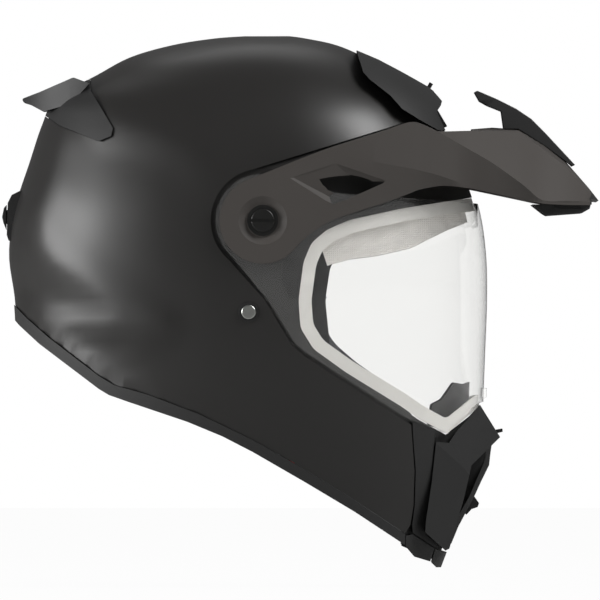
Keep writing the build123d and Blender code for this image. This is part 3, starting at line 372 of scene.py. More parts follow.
def liner_foam():
    """Black painted bead foam: its beads show as a coarse pebble."""
    return surface("painted_bead_foam", "#1F1F1F", 0.8, shade=0.15, patch_mm=4, grain_mm=3.5, bump=0.35,
                   IOR=1.45)


def steel(name="brushed_stainless_steel", colour="#BEC0BC", roughness=0.3):
    """Brushed stainless steel: fine radial scratches spread the highlight."""
    return surface(name, colour, roughness, shade=0.1, patch_mm=3, grain_mm=0.15, bump=0.1, Metallic=1.0)


def lever_plastic():
    """Red glossy acetal of the buckle's lever."""
    return surface("red_acetal_lever", "#B21F1C", 0.25, shade=0.05, patch_mm=10, grain_mm=0.5, bump=0.02,
                   IOR=1.48)


def woven(name, colour, thread_mm, roughness=0.85, sheen=0.3):
    """Cloth: warp and weft threads crossing at thread_mm, with a soft sheen at grazing angles."""
    if name in bpy.data.materials:
        return bpy.data.materials[name]
    material = surface(name, colour, roughness, shade=0.12, patch_mm=9, grain_mm=1.1, bump=0.15, IOR=1.45)
    tree = material.node_tree
    shader = tree.nodes["Principled BSDF"]
    place = node(tree, "ShaderNodeTexCoord")
    waves = []
    for direction in ("X", "Z"):
        waves.append(node(tree, "ShaderNodeTexWave", [("Vector", place.outputs["Object"])],
                          bands_direction=direction, Scale=0.314 / (thread_mm * MM), Distortion=0.4))
    weave = node(tree, "ShaderNodeMath", [(0, waves[0].outputs["Fac"]), (1, waves[1].outputs["Fac"])],
                 operation="MULTIPLY")
    relief = node(tree, "ShaderNodeBump", [("Height", weave.outputs[0])], Strength=0.5, Distance=0.0004)
    tree.links.new(shader.inputs["Normal"], relief.outputs["Normal"])
    shader.inputs["Sheen Weight"].default_value = sheen
    shader.inputs["Sheen Roughness"].default_value = 0.5
    return material


def lining_cloth():
    """Brushed mid-grey lining cloth, laminated to foam."""
    return woven("brushed_lining_cloth", "#56565A", 1.2)


def brow_cloth():
    """Pale grey brow and chin facing, as it shows behind the shield."""
    return woven("pale_brow_cloth", "#E2DFDB", 1.2)


def wind_cloth():
    """Black tricot of the chin curtain."""
    return woven("black_tricot", "#202022", 0.9)


def webbing():
    """Black polyester webbing with coarse ribs."""
    return woven("black_polyester_webbing", "#1B1B1C", 1.6, roughness=0.75)


def clear_sheet():
    """Clear polycarbonate under a low-index hard coat: no colour of its own, sharp gloss."""
    name = "clear_polycarbonate"
    if name in bpy.data.materials:
        return bpy.data.materials[name]
    material = bpy.data.materials.new(name)
    material.use_nodes = True
    tree = material.node_tree
    shader = tree.nodes["Principled BSDF"]
    shader.inputs["Base Color"].default_value = linear("#FBFBFA")
    shader.inputs["Roughness"].default_value = 0.0
    shader.inputs["IOR"].default_value = 1.36
    shader.inputs["Transmission Weight"].default_value = 1.0
    return material


# Mesh tools

def fresh():
    """Object mode with nothing selected."""
    if bpy.context.object and bpy.context.object.mode != "OBJECT":
        bpy.ops.object.mode_set(mode="OBJECT")
    bpy.ops.object.select_all(action="DESELECT")


def only(piece):
    """Object mode with one piece selected and active."""
    fresh()
    piece.select_set(True)
    bpy.context.view_layer.objects.active = piece
    return piece


def level_at(height):
    """The level section at height, from 0 at the rim to 1 at the crown, on a smooth curve."""
    place = height * (len(LEVELS_PX_SHARES) - 1)
    low = min(int(place), len(LEVELS_PX_SHARES) - 2)
    t = place - low
    rows = [LEVELS_PX_SHARES[max(0, min(len(LEVELS_PX_SHARES) - 1, low + k))] for k in (-1, 0, 1, 2)]
    found = []
    for a, b, c, d in zip(*rows):
        found.append(b + 0.5 * t * (c - a + t * (2 * a - 5 * b + 4 * c - d + t * (3 * (b - c) + d - a))))
    return found


def form_point(turn, height, inset):
    """A point of the form, drawn in by inset."""
    py, back_px, front_px, width_share, power = level_at(height)
    crown = at((0, LEVELS_PX_SHARES[-1][0])).z
    back_reach = -at((min(level[1] for level in LEVELS_PX_SHARES), 0)).x
    front_reach = at((max(level[2] for level in LEVELS_PX_SHARES), 0)).x
    back_x, z, front_x = at((back_px, py)).x, at((back_px, py)).z, at((front_px, py)).x
    if z > 0:
        z *= (crown - inset) / crown
    front_scale = (front_reach - inset) / front_reach
    back_x *= (back_reach - inset) / back_reach if back_x < 0 else front_scale
    front_x *= front_scale
    waist = WAIST_MM * MM
    middle = waist if back_x < waist < front_x / 2 else (back_x + front_x) / 2
    half = (sizes().half_width - inset) * width_share
    long_half = front_x - middle if cos(turn) > 0 else middle - back_x
    return Vector((middle + long_half * copysign(abs(cos(turn)) ** (2 / power), cos(turn)),
                   half * copysign(abs(sin(turn)) ** (2 / power), sin(turn)), z))


def ridge(px, py, route, rise, spread):
    """How far a soft crease along route lifts the surface at a pixel of the side view."""
    nearest = 1e9
    for (ax, ay), (bx, by) in zip(route, route[1:]):
        length = hypot(bx - ax, by - ay)
        along = max(0, min(1, ((px - ax) * (bx - ax) + (py - ay) * (by - ay)) / length ** 2))
        nearest = min(nearest, hypot(px - ax - along * (bx - ax), py - ay - along * (by - ay)))
    return rise * max(0, 1 - nearest / spread)


def creases(px, py):
    """The shell's soft creases, as a lift out of the form."""
    return sum(ridge(px, py, route, rise, spread) for route, rise, spread in CREASES_PX_MM) * MM


def form(inset, shaped=False, fine=True):
    """The helmet's outer form as a closed mesh, drawn in by inset."""
    fresh()
    around = sizes().around if fine else sizes().around // 2
    levels = sizes().levels if fine else sizes().levels // 2
    bpy.ops.mesh.primitive_grid_add(x_subdivisions=around, y_subdivisions=levels, size=2)
    piece = bpy.context.object
    for vertex in piece.data.vertices:
        turn = pi * (vertex.co.x + 1)
        height = (vertex.co.y + 1) / 2
        spot = form_point(turn, height, inset * MM)
        if shaped:
            side = spot.x / px_size() + HEAD_PX[0], HEAD_PX[1] - spot.z / px_size()
            out = Vector((spot.x * 0.4, spot.y, max(0, spot.z) * 0.6)).normalized()
            fade = min(1, abs(spot.y) / 0.05)
            rise = CREASE_RISE_MM * MM
            spot -= out * (rise - min(rise, creases(*side))) * fade * shell_fade(*side)
        vertex.co = spot
    bpy.ops.object.mode_set(mode="EDIT")
    bpy.ops.mesh.select_all(action="SELECT")
    bpy.ops.mesh.remove_doubles(threshold=1e-6)
    bpy.ops.mesh.fill_holes(sides=0)
    bpy.ops.mesh.select_all(action="SELECT")
    bpy.ops.mesh.normals_make_consistent(inside=False)
    bpy.ops.object.mode_set(mode="OBJECT")
    return piece


def shell_fade(px, py):
    """The creases' depth: full on the rear half, none towards the shield and the rim."""
    return max(0, min(1, (300 - px) / 120)) * (1 - ridge(px, py, BOTTOM_PX[1:12], 1, 13))


def side_points(spots, grow=0.0):
    """The corners of a side outline, each edge moved out by grow millimetres."""
    points = [at(spot) for spot in spots]
    points = [(p.x, p.z) for p in points]
    if not grow:
        return points
    around = sum(p[0] * q[1] - q[0] * p[1] for p, q in zip(points, points[1:] + points[:1]))
    step = grow * MM * (1 if around > 0 else -1)
    moved = []
    for before, here, after in zip(points[-1:] + points, points, points[1:] + points[:1]):
        first, second = Vector(here) - Vector(before), Vector(after) - Vector(here)
        n1 = Vector((first.y, -first.x)).normalized()
        n2 = Vector((second.y, -second.x)).normalized()
        lean = (n1 + n2) / max(0.3, 1 + n1.dot(n2))
        moved.append((here[0] + lean.x * step, here[1] + lean.y * step))
    return moved


def prism(spots, low=-FAR, high=FAR, grow=0.0, corner=0.0):
    """A side outline as a solid from one width to another, with rounded corners."""
    fresh()
    bpy.ops.mesh.primitive_circle_add(vertices=len(spots), fill_type="NGON")
    piece = bpy.context.object
    for vertex, (x, z) in zip(piece.data.vertices, side_points(spots, grow)):
        vertex.co = (x, low, z)
    bpy.ops.object.mode_set(mode="EDIT")
    bpy.ops.mesh.select_all(action="SELECT")
    if corner:
        bpy.ops.mesh.bevel(offset=corner * MM, segments=6, affect="VERTICES")
        bpy.ops.mesh.select_all(action="SELECT")
    bpy.ops.mesh.extrude_region_move(TRANSFORM_OT_translate={"value": (0, high - low, 0)})
    bpy.ops.mesh.select_all(action="SELECT")
    bpy.ops.mesh.normals_make_consistent(inside=False)
    bpy.ops.object.mode_set(mode="OBJECT")
    return piece


def disc(radius, low, high, spot=PIVOT_PX, points=96):
    """A round solid across the helmet, sizes in millimetres."""
    fresh()
    centre = at(spot)
    bpy.ops.mesh.primitive_cylinder_add(
        vertices=points, radius=radius * MM, depth=(high - low) * MM, rotation=(pi / 2, 0, 0),
        location=(centre.x, (high + low) / 2 * MM, centre.z))
    bpy.ops.object.transform_apply(location=True, rotation=True, scale=True)
    return bpy.context.object


def slab(half):
    """A block that holds everything within half millimetres of the mid-plane."""
    fresh()
    bpy.ops.mesh.primitive_cube_add(size=1, scale=(2 * FAR, 2 * half * MM, 2 * FAR))
    bpy.ops.object.transform_apply(location=True, rotation=True, scale=True)
    return bpy.context.object


def combine(piece, tool, operation="DIFFERENCE"):
    """Cuts, joins or intersects a piece with a tool, which is used up."""
    only(piece)
    step = piece.modifiers.new("cut", "BOOLEAN")
    step.operation, step.solver, step.object = operation, "EXACT", tool
    bpy.ops.object.modifier_apply(modifier=step.name)
    bpy.data.objects.remove(tool)
    return piece


def keep(piece, tool):
    """Keeps what a piece shares with a tool."""
    return combine(piece, tool, "INTERSECT")


def join(piece, tool):
    """Adds a tool to a piece."""
    return combine(piece, tool, "UNION")


def dress(piece, name, material, body, *nodes, angle=30, slot=None, bevel=0.0):
    """Finishes a piece: its name, shading, material, body and the nodes that it stands for."""
    only(piece)
    piece.name = piece.data.name = name
    bpy.ops.object.mode_set(mode="EDIT")
    bpy.ops.mesh.select_all(action="SELECT")
    bpy.ops.mesh.remove_doubles(threshold=2e-6)
    bpy.ops.mesh.delete_loose()
    bpy.ops.object.mode_set(mode="OBJECT")
    if bevel:
        step = piece.modifiers.new("edges", "BEVEL")
        step.width, step.segments, step.limit_method, step.angle_limit = bevel * MM, 2, "ANGLE", radians(35)
        bpy.ops.object.modifier_apply(modifier=step.name)
    bpy.ops.object.shade_smooth_by_angle(angle=radians(angle))
    piece.data.materials.clear()
    piece.data.materials.append(material)
    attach(piece, body)
    if nodes:
        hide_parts(*nodes)
    return piece


def redress(node_name, material, bevel=0.4, angle=35):
    """A CAD node that keeps its shape: a finer material, and softened edges."""
    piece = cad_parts[node_name]
    piece.data.materials.clear()
    piece.data.materials.append(material)
    weld = piece.modifiers.new("weld", "WELD")
    weld.merge_threshold = 1e-5
    if bevel:
        edges = piece.modifiers.new("edges", "BEVEL")
        edges.width, edges.segments, edges.limit_method = bevel * MM, 2, "ANGLE"
        edges.angle_limit = radians(angle)
    only(piece)
    return piece


# Shapes that several pieces share

def shield_recess(depth, flat, grow=0.0, fine=True):
    """What is cut from the sides of the form to make the recess that the shield lies in."""
    zone = join(prism(SHIELD_ZONE_PX, grow=grow), disc(ARM_POCKET_RADIUS_MM + grow, -FAR / MM, FAR / MM))
    return combine(zone, keep(form(depth, fine=fine), slab(flat)))


def across(side, near, far):
    """The span from near to far on one side of the helmet, -1 for the right, lower end first."""
    return sorted((side * near, side * far))


def stepped(depth, zone_depth, flat, grow=0.0, shaped=False, fine=True):
    """The form drawn in by depth, and stepped further in where the shield lies."""
    return combine(form(depth, shaped, fine), shield_recess(zone_depth, flat, grow, fine))


def layer(outer, inner, outline, corner=0.0, fine=True, low=-FAR, high=FAR):
    """The space between two insets of the form, within a side outline."""
    piece = combine(form(outer, fine=fine), form(inner, fine=fine))
    return keep(piece, prism(outline, low, high, corner=corner))


def row_points(row, bend):
    """A row of (pixel x, pixel y, half width) on the right side, with steps between its points."""
    points = [at(spot[:2], -spot[2] * MM) for spot in row]
    found = []
    for n in range(len(points) - 1):
        a, b, c, d = (points[max(0, min(len(points) - 1, n + k))] for k in (-1, 0, 1, 2))
        for step in range(ROW_STEPS):
            t = step / ROW_STEPS
            line = b.lerp(c, t)
            curve = b + 0.5 * t * (c - a + t * (2 * a - 5 * b + 4 * c - d + t * (3 * (b - c) + d - a)))
            found.append(line.lerp(curve, bend))
    return found + [points[-1]]


def smooth_row(row):
    return row_points(row, 1.0)


def straight_row(row):
    return row_points(row, 0.0)


def stack(rings):
    """A closed solid through rings of the same number of corners."""
    count = len(rings[0])
    spots = [spot for ring in rings for spot in ring]
    faces = [list(range(count)), list(range(len(spots) - count, len(spots)))]
    for level in range(len(rings) - 1):
        for n in range(count):
            here, after = level * count + n, level * count + (n + 1) % count
            faces.append([here, after, after + count, here + count])
    fresh()
    bpy.ops.mesh.primitive_plane_add(size=1)
    piece = bpy.context.object
    piece.data.clear_geometry()
    piece.data.from_pydata(spots, [], faces)
    bpy.ops.object.mode_set(mode="EDIT")
    bpy.ops.mesh.select_all(action="SELECT")
    bpy.ops.mesh.normals_make_consistent(inside=False)
    bpy.ops.object.mode_set(mode="OBJECT")
    return piece


class HELMET_OT_shell(bpy.types.Operator):
    """The painted shell, with the shield's recess and the eye port"""
    bl_idname = "helmet.shell"
    bl_label = "Shell"

    def execute(self, context):
        piece = stepped(0, RECESS_MM, RECESS_FLAT_MM, shaped=True)
        for side in (-1, 1):
            combine(piece, disc(ARM_POCKET_RADIUS_MM, *across(side, ARM_POCKET_FLAT_MM, 200)))
        combine(piece, keep(form(SHELL_INSIDE_MM, fine=False), slab(SHELL_INSIDE_FLAT_MM)))
        combine(piece, prism(BOTTOM_PX))
        combine(piece, prism(EYE_PORT_PX, corner=PORT_CORNER_MM))
        combine(piece, prism(CHIN_LINE_PX))
        combine(piece, combine(prism(SPOILER_PX, grow=GAP_MM), form(RECESS_MM, fine=False)))
        for side in (-1, 1):
            combine(piece, prism(LOCK_PLATE_PX, *across(side, 0.115, 0.2), grow=GAP_MM))
            seat = disc(RIVET_SEAT_RADIUS_MM, *across(side, RIVET_SEAT_FLAT_MM, 160), RIVET_PX, 48)
            combine(piece, seat)
        dress(piece, "painted_shell", shell_paint(), "shell", "outer_shell", angle=28)
        return {"FINISHED"}


class HELMET_OT_rim(bpy.types.Operator):
    """The rubber trim along the lower rim, and the skirts under the chin"""
    bl_idname = "helmet.rim"
    bl_label = "Rim trim"

    def execute(self, context):
        piece = layer(-0.8, 7.2, EDGE_TRIM_PX)
        keep(piece, prism(BOTTOM_PX, grow=-GAP_MM))
        dress(piece, "rim_trim", soft_rubber(), "shell", "bottom_edge_trim")
        for side, name in ((-1, "right"), (1, "left")):
            low, high = across(side, 0.0, FAR)
            skirt = layer(0, 3, CHIN_SKIRT_PX, low=low, high=high)
            dress(skirt, f"chin_skirt_rubber_{name}", soft_rubber(), "shell", f"chin_skirt_{name}")
        cap = layer(0, 3, CHIN_CAP_PX)
        dress(cap, "chin_skirt_cap_rubber", soft_rubber(), "shell", "chin_skirt_cap")
        return {"FINISHED"}


class HELMET_OT_spoiler(bpy.types.Operator):
    """The saddle and lip at the back of the crown"""
    bl_idname = "helmet.spoiler"
    bl_label = "Rear spoiler"

    def execute(self, context):
        piece = layer(0, 2.1, SPOILER_PX)
        lip = prism(SPOILER_LIP_PX, -0.07, 0.07, corner=1.0)
        fresh()
        centre = at(SPOILER_CENTRE_PX)
        bpy.ops.mesh.primitive_cylinder_add(vertices=96, radius=1, depth=2 * FAR)
        plan = bpy.context.object
        plan.scale = (centre.x - at(SPOILER_TIP_PX).x, 0.062, 1)
        plan.location = (centre.x, 0, 0)
        bpy.ops.object.transform_apply(location=True, rotation=True, scale=True)
        lip = combine(keep(lip, plan), form(2.1, fine=False))
        dress(join(piece, lip), "crown_spoiler", moulded_trim(), "shell", "rear_spoiler")
        return {"FINISHED"}


class HELMET_OT_top_vent(bpy.types.Operator):
    """The cover of the top vent"""
    bl_idname = "helmet.top_vent"
    bl_label = "Top vent"

    def execute(self, context):
        piece = combine(keep(form(-7.5), prism(VENT_COVER_PX)), form(-0.3, fine=False))
        combine(piece, prism(VENT_MOUTH_PX, -0.03, 0.03))
        front, rear = at(VENT_SLIDER_PX), at(VENT_SLIDER_REAR_PX)
        along = (rear - front).normalized()
        out = Vector((along.z, 0, -along.x))
        fresh()
        bpy.ops.mesh.primitive_cube_add(size=1, scale=(0.0142, 0.0182, 0.02))
        slot = bpy.context.object
        bpy.ops.object.transform_apply(location=True, rotation=True, scale=True)
        turn = Matrix((along, (0, 1, 0), out)).transposed().to_4x4()
        slot.data.transform(Matrix.Translation(front + along * 0.003 + out * 0.0088) @ turn)
        combine(piece, slot)
        dress(piece, "top_vent_shroud", moulded_trim(), "shell", "top_vent_cover")
        return {"FINISHED"}


class HELMET_OT_eye_port(bpy.types.Operator):
    """The pale gasket of the eye port, and the nose deflector"""
    bl_idname = "helmet.eye_port"
    bl_label = "Eye port"

    def execute(self, context):
        ring = prism(EYE_PORT_PX, grow=-GAP_MM, corner=PORT_CORNER_MM)
        combine(ring, prism(EYE_PORT_PX, grow=-GASKET_WIDTH_MM, corner=PORT_CORNER_MM))
        combine(ring, prism(CHIN_COVER_PX, grow=GAP_MM))
        piece = keep(stepped(GASKET_DEPTH_MM, GASKET_DEPTH_MM, GASKET_FLAT_MM, GAP_MM), ring)
        combine(piece, form(GASKET_INSIDE_MM, fine=False))
        dress(piece, "port_gasket", gasket_rubber(), "shell", "eyeport_gasket")
        for name, outline in (("upper_seam_backing", UPPER_SEAM_PX), ("lower_seam_backing", LOWER_SEAM_PX)):
            dress(layer(3.1, 4.0, outline), name, moulded_trim(), "shell")
        brow = layer(9.05, 9.28, BROW_PX)
        dress(brow, "brow_facing", brow_cloth(), "shell")
        nose = layer(9.3, 11.7, DEFLECTOR_PX, corner=1.0)
        dress(nose, "breath_deflector", soft_rubber(), "shell", "nose_deflector")
        return {"FINISHED"}


class HELMET_OT_shield(bpy.types.Operator):
    """The clear face shield and its tab"""
    bl_idname = "helmet.shield"
    bl_label = "Face shield"

    def execute(self, context):
        piece = keep(form(0), slab(SHIELD_FLAT_MM))
        combine(piece, keep(form(SHIELD_WALL_MM), slab(SHIELD_FLAT_MM - SHIELD_WALL_MM)))
        ears = disc(SHIELD_EAR_RADIUS_MM, -FAR / MM, FAR / MM)
        keep(piece, join(prism(SHIELD_PX, corner=1.5), ears))
        combine(piece, disc(BOSS_BORE_RADIUS_MM, -FAR / MM, FAR / MM))
        dress(piece, "clear_shield", clear_sheet(), "shield", "face_shield", angle=35)
        redress("shield_tab", clear_sheet(), bevel=0.3)
        return {"FINISHED"}


class HELMET_OT_chin(bpy.types.Operator):
    """The chin bar: its frame, cover, grille, lever and shutter"""
    bl_idname = "helmet.chin"
    bl_label = "Chin bar"

    def execute(self, context):
        piece = keep(form(4.6), prism(CHIN_FRAME_PX))
        join(piece, keep(form(0), prism(CHIN_FRAME_FACE_PX)))
        combine(piece, form(7.6, fine=False))
        dress(piece, "chin_bar_frame", moulded_trim(), "shell", "chin_frame")
        redress("chin_cover", moulded_trim(), bevel=0.7)
        redress("chin_grille", dark_nylon(), bevel=0.2)
        webs = prism(CHIN_WEB_PX, 0.0168, 0.0175)
        join(webs, prism(CHIN_WEB_PX, -0.0175, -0.0168))
        dress(webs, "chin_vent_webs", dark_nylon(), "shell")
        redress("chin_vent_lever", dark_nylon(), bevel=0.3)
        redress("chin_vent_slider", dark_nylon(), bevel=0.3)
        return {"FINISHED"}


class HELMET_OT_peak(bpy.types.Operator):
    """The peak, its scoop and its front tray"""
    bl_idname = "helmet.peak"
    bl_label = "Peak"

    def execute(self, context):
        piece = self.surface()
        wall = piece.modifiers.new("wall", "SOLIDIFY")
        wall.thickness, wall.offset, wall.use_even_offset = PEAK_WALL_MM * MM, -1, True
        bpy.ops.object.modifier_apply(modifier=wall.name)
        edges = piece.modifiers.new("edges", "BEVEL")
        edges.width, edges.segments = PEAK_EDGE_MM * MM, 3
        edges.limit_method, edges.angle_limit = "ANGLE", radians(40)
        bpy.ops.object.modifier_apply(modifier=edges.name)
        combine(piece, prism(PEAK_NOTCH_PX, -0.07, 0.07))
        pivot = at(PIVOT_PX)
        for side in (-1, 1):
            join(piece, disc(27.3, *across(side, 120, 124)))
            ramp = [[at(spot[:2], side * 0.135) for spot in PEAK_RAMP_PX_MM]]
            for ring in (PEAK_RAMP_PX_MM, PEAK_RAMP_FLOOR_PX_MM):
                ramp.append([at(spot[:2], side * spot[2] * MM) for spot in ring])
            combine(piece, stack(ramp))
            combine(piece, prism(PEAK_SLOT_PX, *across(side, 0.06, FAR)))
            turns = [2 * pi * step / 96 for step in range(96)]
            dish = []
            for radius, y in PEAK_DISH_MM:
                ring = [Vector((radius * cos(t), side * y, radius * sin(t))) for t in turns]
                dish.append([pivot + spot * MM for spot in ring])
            combine(piece, stack(dish))
            combine(piece, disc(BOSS_BORE_RADIUS_MM, *across(side, 60, 200)))
        # The peak's paler paint is painted light: the peak and the shell have the same matt black paint.
        dress(piece, "painted_peak", peak_paint_with_painted_light(), "peak", "peak", angle=8)
        piece.data.materials.append(dark_nylon())
        for face in piece.data.polygons:
            if face.center.x > at(PEAK_LIP_PX).x:
                face.material_index = 1
        redress("peak_scoop", dark_nylon(), bevel=0.4)
        redress("peak_tray", dark_nylon(), bevel=0.2)
        return {"FINISHED"}

    def surface(self):
        """The peak's outer surface with both arms, before it is given a wall."""
        skip = len(PEAK_LOW_PX_MM) - len(PEAK_RIDGE_PX_MM)
        rows = [smooth_row(row) for row in (PEAK_LOW_PX_MM, PEAK_FOLD_PX_MM, PEAK_CREASE_PX_MM)]
        rows += [[None] * skip * ROW_STEPS + straight_row(row) for row in (PEAK_RIDGE_PX_MM, PEAK_ROOF_PX_MM)]
        spots, faces = [], []
        for low, high in zip(rows, rows[1:]):
            for n in range(len(low) - 1):
                if high[n] is None or low[n] is None:
                    continue
                faces.append([len(spots) + k for k in range(4)])
                spots += [low[n], low[n + 1], high[n + 1], high[n]]
        pivot = at(PIVOT_PX)
        upper, lower = PEAK_ARM_END_PX
        first = atan2(upper[1] - PIVOT_PX[1], upper[0] - PIVOT_PX[0])
        last = atan2(lower[1] - PIVOT_PX[1], lower[0] - PIVOT_PX[0]) - 2 * pi
        arm = [row[0] for row in rows[:3]]
        for step in range(61):
            turn = first + (last - first) * step / 60
            round_end = Vector((PEAK_ARM_RADIUS_MM * cos(turn), 0, -PEAK_ARM_RADIUS_MM * sin(turn)))
            arm.append(pivot + (round_end + Vector((0, -PEAK_ARM_FLAT_MM, 0))) * MM)
        faces.append([len(spots) + k for k in range(len(arm))])
        spots += arm
        fresh()
        bpy.ops.mesh.primitive_plane_add(size=1)
        piece = bpy.context.object
        piece.data.clear_geometry()
        piece.data.from_pydata(spots, [], faces)
        half = piece.modifiers.new("half", "MIRROR")
        half.use_axis = (False, True, False)
        bpy.ops.object.modifier_apply(modifier=half.name)
        bpy.ops.object.mode_set(mode="EDIT")
        bpy.ops.mesh.select_all(action="SELECT")
        bpy.ops.mesh.remove_doubles(threshold=1e-5)
        bpy.ops.object.mode_set(mode="OBJECT")
        return piece


class HELMET_OT_fittings(bpy.types.Operator):
    """Pivot knobs, base plates, latch plates, vents, rivets and the buckle"""
    bl_idname = "helmet.fittings"
    bl_label = "Fittings"

    def execute(self, context):
        for side in ("right", "left"):
            redress(f"pivot_knob_{side}", pivot_plastic(), bevel=0.25)
            redress(f"base_plate_{side}", pivot_plastic(), bevel=0.2)
            redress(f"shield_lock_plate_{side}", pivot_plastic(), bevel=0.15)
            redress(f"base_plate_screws_{side}", steel("zinc_screw_steel", "#8C8C88", 0.35), bevel=0.15)
            redress(f"strap_rivet_{side}", steel(), bevel=0)
            redress(f"rivet_ring_{side}", dark_nylon(), bevel=0.15)
        redress("rear_vent_housing", moulded_trim(), bevel=0.3)
        redress("rear_vent_slider", dark_nylon(), bevel=0.3)
        redress("top_vent_grille", dark_nylon(), bevel=0.2)
        redress("top_vent_slider", dark_nylon(), bevel=0.2)
        redress("buckle_housing", dark_nylon(), bevel=0.2)
        redress("buckle_lever", lever_plastic(), bevel=0.3)
        redress("buckle_tongue", steel(), bevel=0.2)
        return {"FINISHED"}


class HELMET_OT_lining(bpy.types.Operator):
    """The foam liner, the pads, the chin liner and the chin curtain"""
    bl_idname = "helmet.lining"
    bl_label = "Lining"

    def execute(self, context):
        piece = stepped(FOAM_OUTSIDE_MM, FOAM_RECESS_MM, FOAM_FLAT_MM, FOAM_OUTSIDE_MM, fine=False)
        combine(piece, form(FOAM_INSIDE_MM, fine=False))
        for side in (-1, 1):
            combine(piece, disc(36.3, *across(side, 110, 200), points=48))
        combine(piece, prism(FACE_PX, corner=PORT_CORNER_MM))
        combine(piece, prism(BOTTOM_PX, grow=4.2))
        combine(piece, prism(CHIN_LINE_PX, grow=9.0))
        combine(piece, combine(prism(EYE_PORT_PX, grow=GAP_MM), form(GASKET_INSIDE_MM + GAP_MM, fine=False)))
        dress(piece, "bead_foam_liner", liner_foam(), "shell", "eps_liner")
        chin = layer(7.9, 21.9, CHIN_LINER_PX, fine=False)
        dress(chin, "chin_foam", liner_foam(), "shell", "chin_bar_liner")
        self.pads()
        sheet = layer(8.6, 39.8, CURTAIN_PX, fine=False)
        dress(sheet, "chin_curtain_cloth", wind_cloth(), "shell", "chin_curtain")
        return {"FINISHED"}

    def pads(self):
        """The pads: the crown pad, the cheek pads and the neck roll, with soft corners."""
        crown = combine(form(PAD_OUTSIDE_MM, fine=False), form(41, fine=False))
        combine(crown, prism(CROWN_PAD_CUT_PX, corner=3.0))
        crown = dress(crown, "crown_pad_cloth", lining_cloth(), "shell", "crown_pad", bevel=1.5)
        for side, name in ((-1, "right"), (1, "left")):
            low, high = across(side, 0.0205, FAR)
            cheek = layer(PAD_OUTSIDE_MM, 56, CHEEK_PAD_PX, corner=4.0, fine=False, low=low, high=high)
            cheek = dress(cheek, f"cheek_pad_cloth_{name}", lining_cloth(), "shell", f"cheek_pad_{name}",
                          bevel=3.0)
        roll = layer(PAD_OUTSIDE_MM, 46, NECK_ROLL_PX, corner=3.0, fine=False)
        roll = dress(roll, "neck_roll_cloth", lining_cloth(), "shell", "neck_roll", bevel=2.0)


class HELMET_OT_strap(bpy.types.Operator):
    """The two halves of the chin strap"""
    bl_idname = "helmet.strap"
    bl_label = "Chin strap"

    def execute(self, context):
        lean = Matrix.Translation(at(RIVET_PX)) @ Matrix.Rotation(radians(-20), 4, "Y")
        for side, name, end in ((-1, "right", -9.3), (1, "left", 23.3)):
            path = [(side * y, z) for y, z in STRAP_PATH_MM] + [(end, -93.0)]
            fresh()
            bpy.ops.mesh.primitive_plane_add(size=1)
            ribbon = bpy.context.object
            ribbon.data.clear_geometry()
            spots = [Vector((x * MM, y * MM, z * MM)) for y, z in path for x in (-11, 11)]
            faces = [(2 * i, 2 * i + 2, 2 * i + 3, 2 * i + 1) for i in range(len(path) - 1)]
            ribbon.data.from_pydata(spots, [], faces)
            bpy.ops.object.mode_set(mode="EDIT")
            bpy.ops.mesh.select_all(action="DESELECT")
            bpy.ops.object.mode_set(mode="OBJECT")
            for edge in ribbon.data.edges:
                a, b = (ribbon.data.vertices[i].co for i in edge.vertices)
                edge.select = abs(a.x - b.x) > 0.01 and abs(a.y) > abs(end * MM) + 1e-4 and a.z < 0.007
            bpy.ops.object.mode_set(mode="EDIT")
            bpy.ops.mesh.bevel(offset=0.008, segments=6, affect="EDGES")
            bpy.ops.object.mode_set(mode="OBJECT")
            wall = ribbon.modifiers.new("wall", "SOLIDIFY")
            wall.thickness, wall.offset = 1.6 * MM, 0
            bpy.ops.object.modifier_apply(modifier=wall.name)
            ribbon.data.transform(lean)
            dress(ribbon, f"strap_webbing_{name}", webbing(), "shell", f"chin_strap_{name}", angle=40)
        return {"FINISHED"}


def lamp(name, energy, size, place, aim=(0.04, 0, 0)):
    """A soft rectangular lamp that points at the helmet."""
    data = bpy.data.lights.new(name, "AREA")
    data.energy, data.size = energy, size
    made = bpy.data.objects.new(name, data)
    made.location = place
    made.rotation_euler = (Vector(aim) - Vector(place)).to_track_quat("-Z", "Y").to_euler()
    bpy.context.collection.objects.link(made)


def glow_to_camera(tree, shader, output, share):
    """Adds plain white to a surface wherever the camera sees it, through a clear sheet too."""
    path = node(tree, "ShaderNodeLightPath")
    rays = [(0, path.outputs["Is Camera Ray"]), (1, path.outputs["Is Transmission Ray"])]
    total = node(tree, "ShaderNodeMath", rays, operation="MAXIMUM")
    factor = node(tree, "ShaderNodeMath", [(0, total.outputs[0])], operation="MULTIPLY")
    factor.inputs[1].default_value = share
    white = node(tree, "ShaderNodeEmission", Strength=1.0)
    mix = node(tree, "ShaderNodeMixShader", [(0, factor.outputs[0]), (1, shader), (2, white.outputs[0])])
    tree.links.new(output, mix.outputs[0])


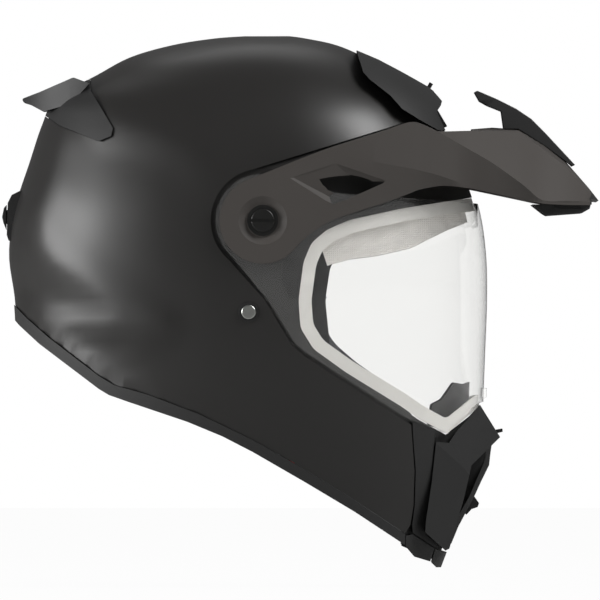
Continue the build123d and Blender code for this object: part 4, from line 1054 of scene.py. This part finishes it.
class HELMET_OT_stage(bpy.types.Operator):
    """The floor, the soft lamps and the camera"""
    bl_idname = "helmet.stage"
    bl_label = "Stage"

    def execute(self, context):
        low = CAD_BOX[0][2] - sizes().floor_drop
        fresh()
        bpy.ops.mesh.primitive_plane_add(size=12, location=(0, 0, low))
        floor = bpy.context.object
        bpy.ops.object.mode_set(mode="EDIT")
        bpy.ops.mesh.select_all(action="SELECT")
        bpy.ops.mesh.subdivide(number_cuts=4)
        bpy.ops.object.mode_set(mode="OBJECT")
        bpy.ops.object.transform_apply(location=True, rotation=True, scale=True)
        floor.name = "pale_floor"
        material = surface("pale_studio_floor", "#B4B4B3", 0.7, shade=0.01, patch_mm=400, grain_mm=3,
                           bump=0.02)
        tree = material.node_tree
        glow_to_camera(tree, tree.nodes["Principled BSDF"].outputs[0],
                       tree.nodes["Material Output"].inputs["Surface"], 0.97)
        floor.data.materials.append(material)
        self.light()
        self.camera()
        return {"FINISHED"}

    def light(self):
        bpy.context.scene.view_settings.view_transform = "Standard"
        world = bpy.data.worlds.new("soft_studio")
        bpy.context.scene.world = world
        world.use_nodes = True
        tree = world.node_tree
        soft = tree.nodes["Background"]
        soft.inputs["Color"].default_value = (1, 1, 1, 1)
        soft.inputs["Strength"].default_value = 0.12
        glow_to_camera(tree, soft.outputs[0], tree.nodes["World Output"].inputs["Surface"], 1.0)
        lamp("rear_bank", 98, 1.8, (-2.6, -0.7, 0.1))
        lamp("side_bank", 6, 1.0, (-1.9, -1.9, 0.5))
        lamp("front_bank", 90, 1.4, (2.3, -1.1, 2.2))
        lamp("crown_rim", 4, 1.2, (0.0, 1.5, 1.9))

    def camera(self):
        data = bpy.data.cameras.new("photo_view")
        made = bpy.data.objects.new("photo_view", data)
        bpy.context.collection.objects.link(made)
        middle = at((FRAME_PX / 2, FRAME_PX / 2))
        distance = 16.0
        data.sensor_width, data.clip_end = 36.0, 100.0
        data.lens = data.sensor_width * distance / (FRAME_PX * px_size())
        made.location = (middle.x, -distance, middle.z)
        made.rotation_euler = (pi / 2, 0, 0)
        bpy.context.scene.camera = made


class HELMET_PT_panel(bpy.types.Panel):
    """The helmet's pieces, in the 3D view's sidebar"""
    bl_idname = "HELMET_PT_panel"
    bl_label = "Helmet"
    bl_space_type = "VIEW_3D"
    bl_region_type = "UI"
    bl_category = "Helmet"

    def draw(self, context):
        for name in HelmetSizes.__annotations__:
            self.layout.prop(context.scene.helmet_sizes, name)
        for operator in OPERATORS:
            self.layout.operator(operator.bl_idname)


OPERATORS = (
    HELMET_OT_stage, HELMET_OT_shell, HELMET_OT_rim, HELMET_OT_spoiler, HELMET_OT_top_vent,
    HELMET_OT_eye_port, HELMET_OT_shield, HELMET_OT_chin, HELMET_OT_peak, HELMET_OT_fittings,
    HELMET_OT_lining, HELMET_OT_strap,
)


def register():
    for cls in (HelmetSizes, *OPERATORS, HELMET_PT_panel):
        bpy.utils.register_class(cls)
    bpy.types.Scene.helmet_sizes = bpy.props.PointerProperty(type=HelmetSizes)


def unregister():
    del bpy.types.Scene.helmet_sizes
    for cls in (HELMET_PT_panel, *reversed(OPERATORS), HelmetSizes):
        bpy.utils.unregister_class(cls)


def main():
    register()
    for operator in OPERATORS:
        group, name = operator.bl_idname.split(".")
        getattr(getattr(bpy.ops, group), name)()


if __name__ == "__main__":
    main()
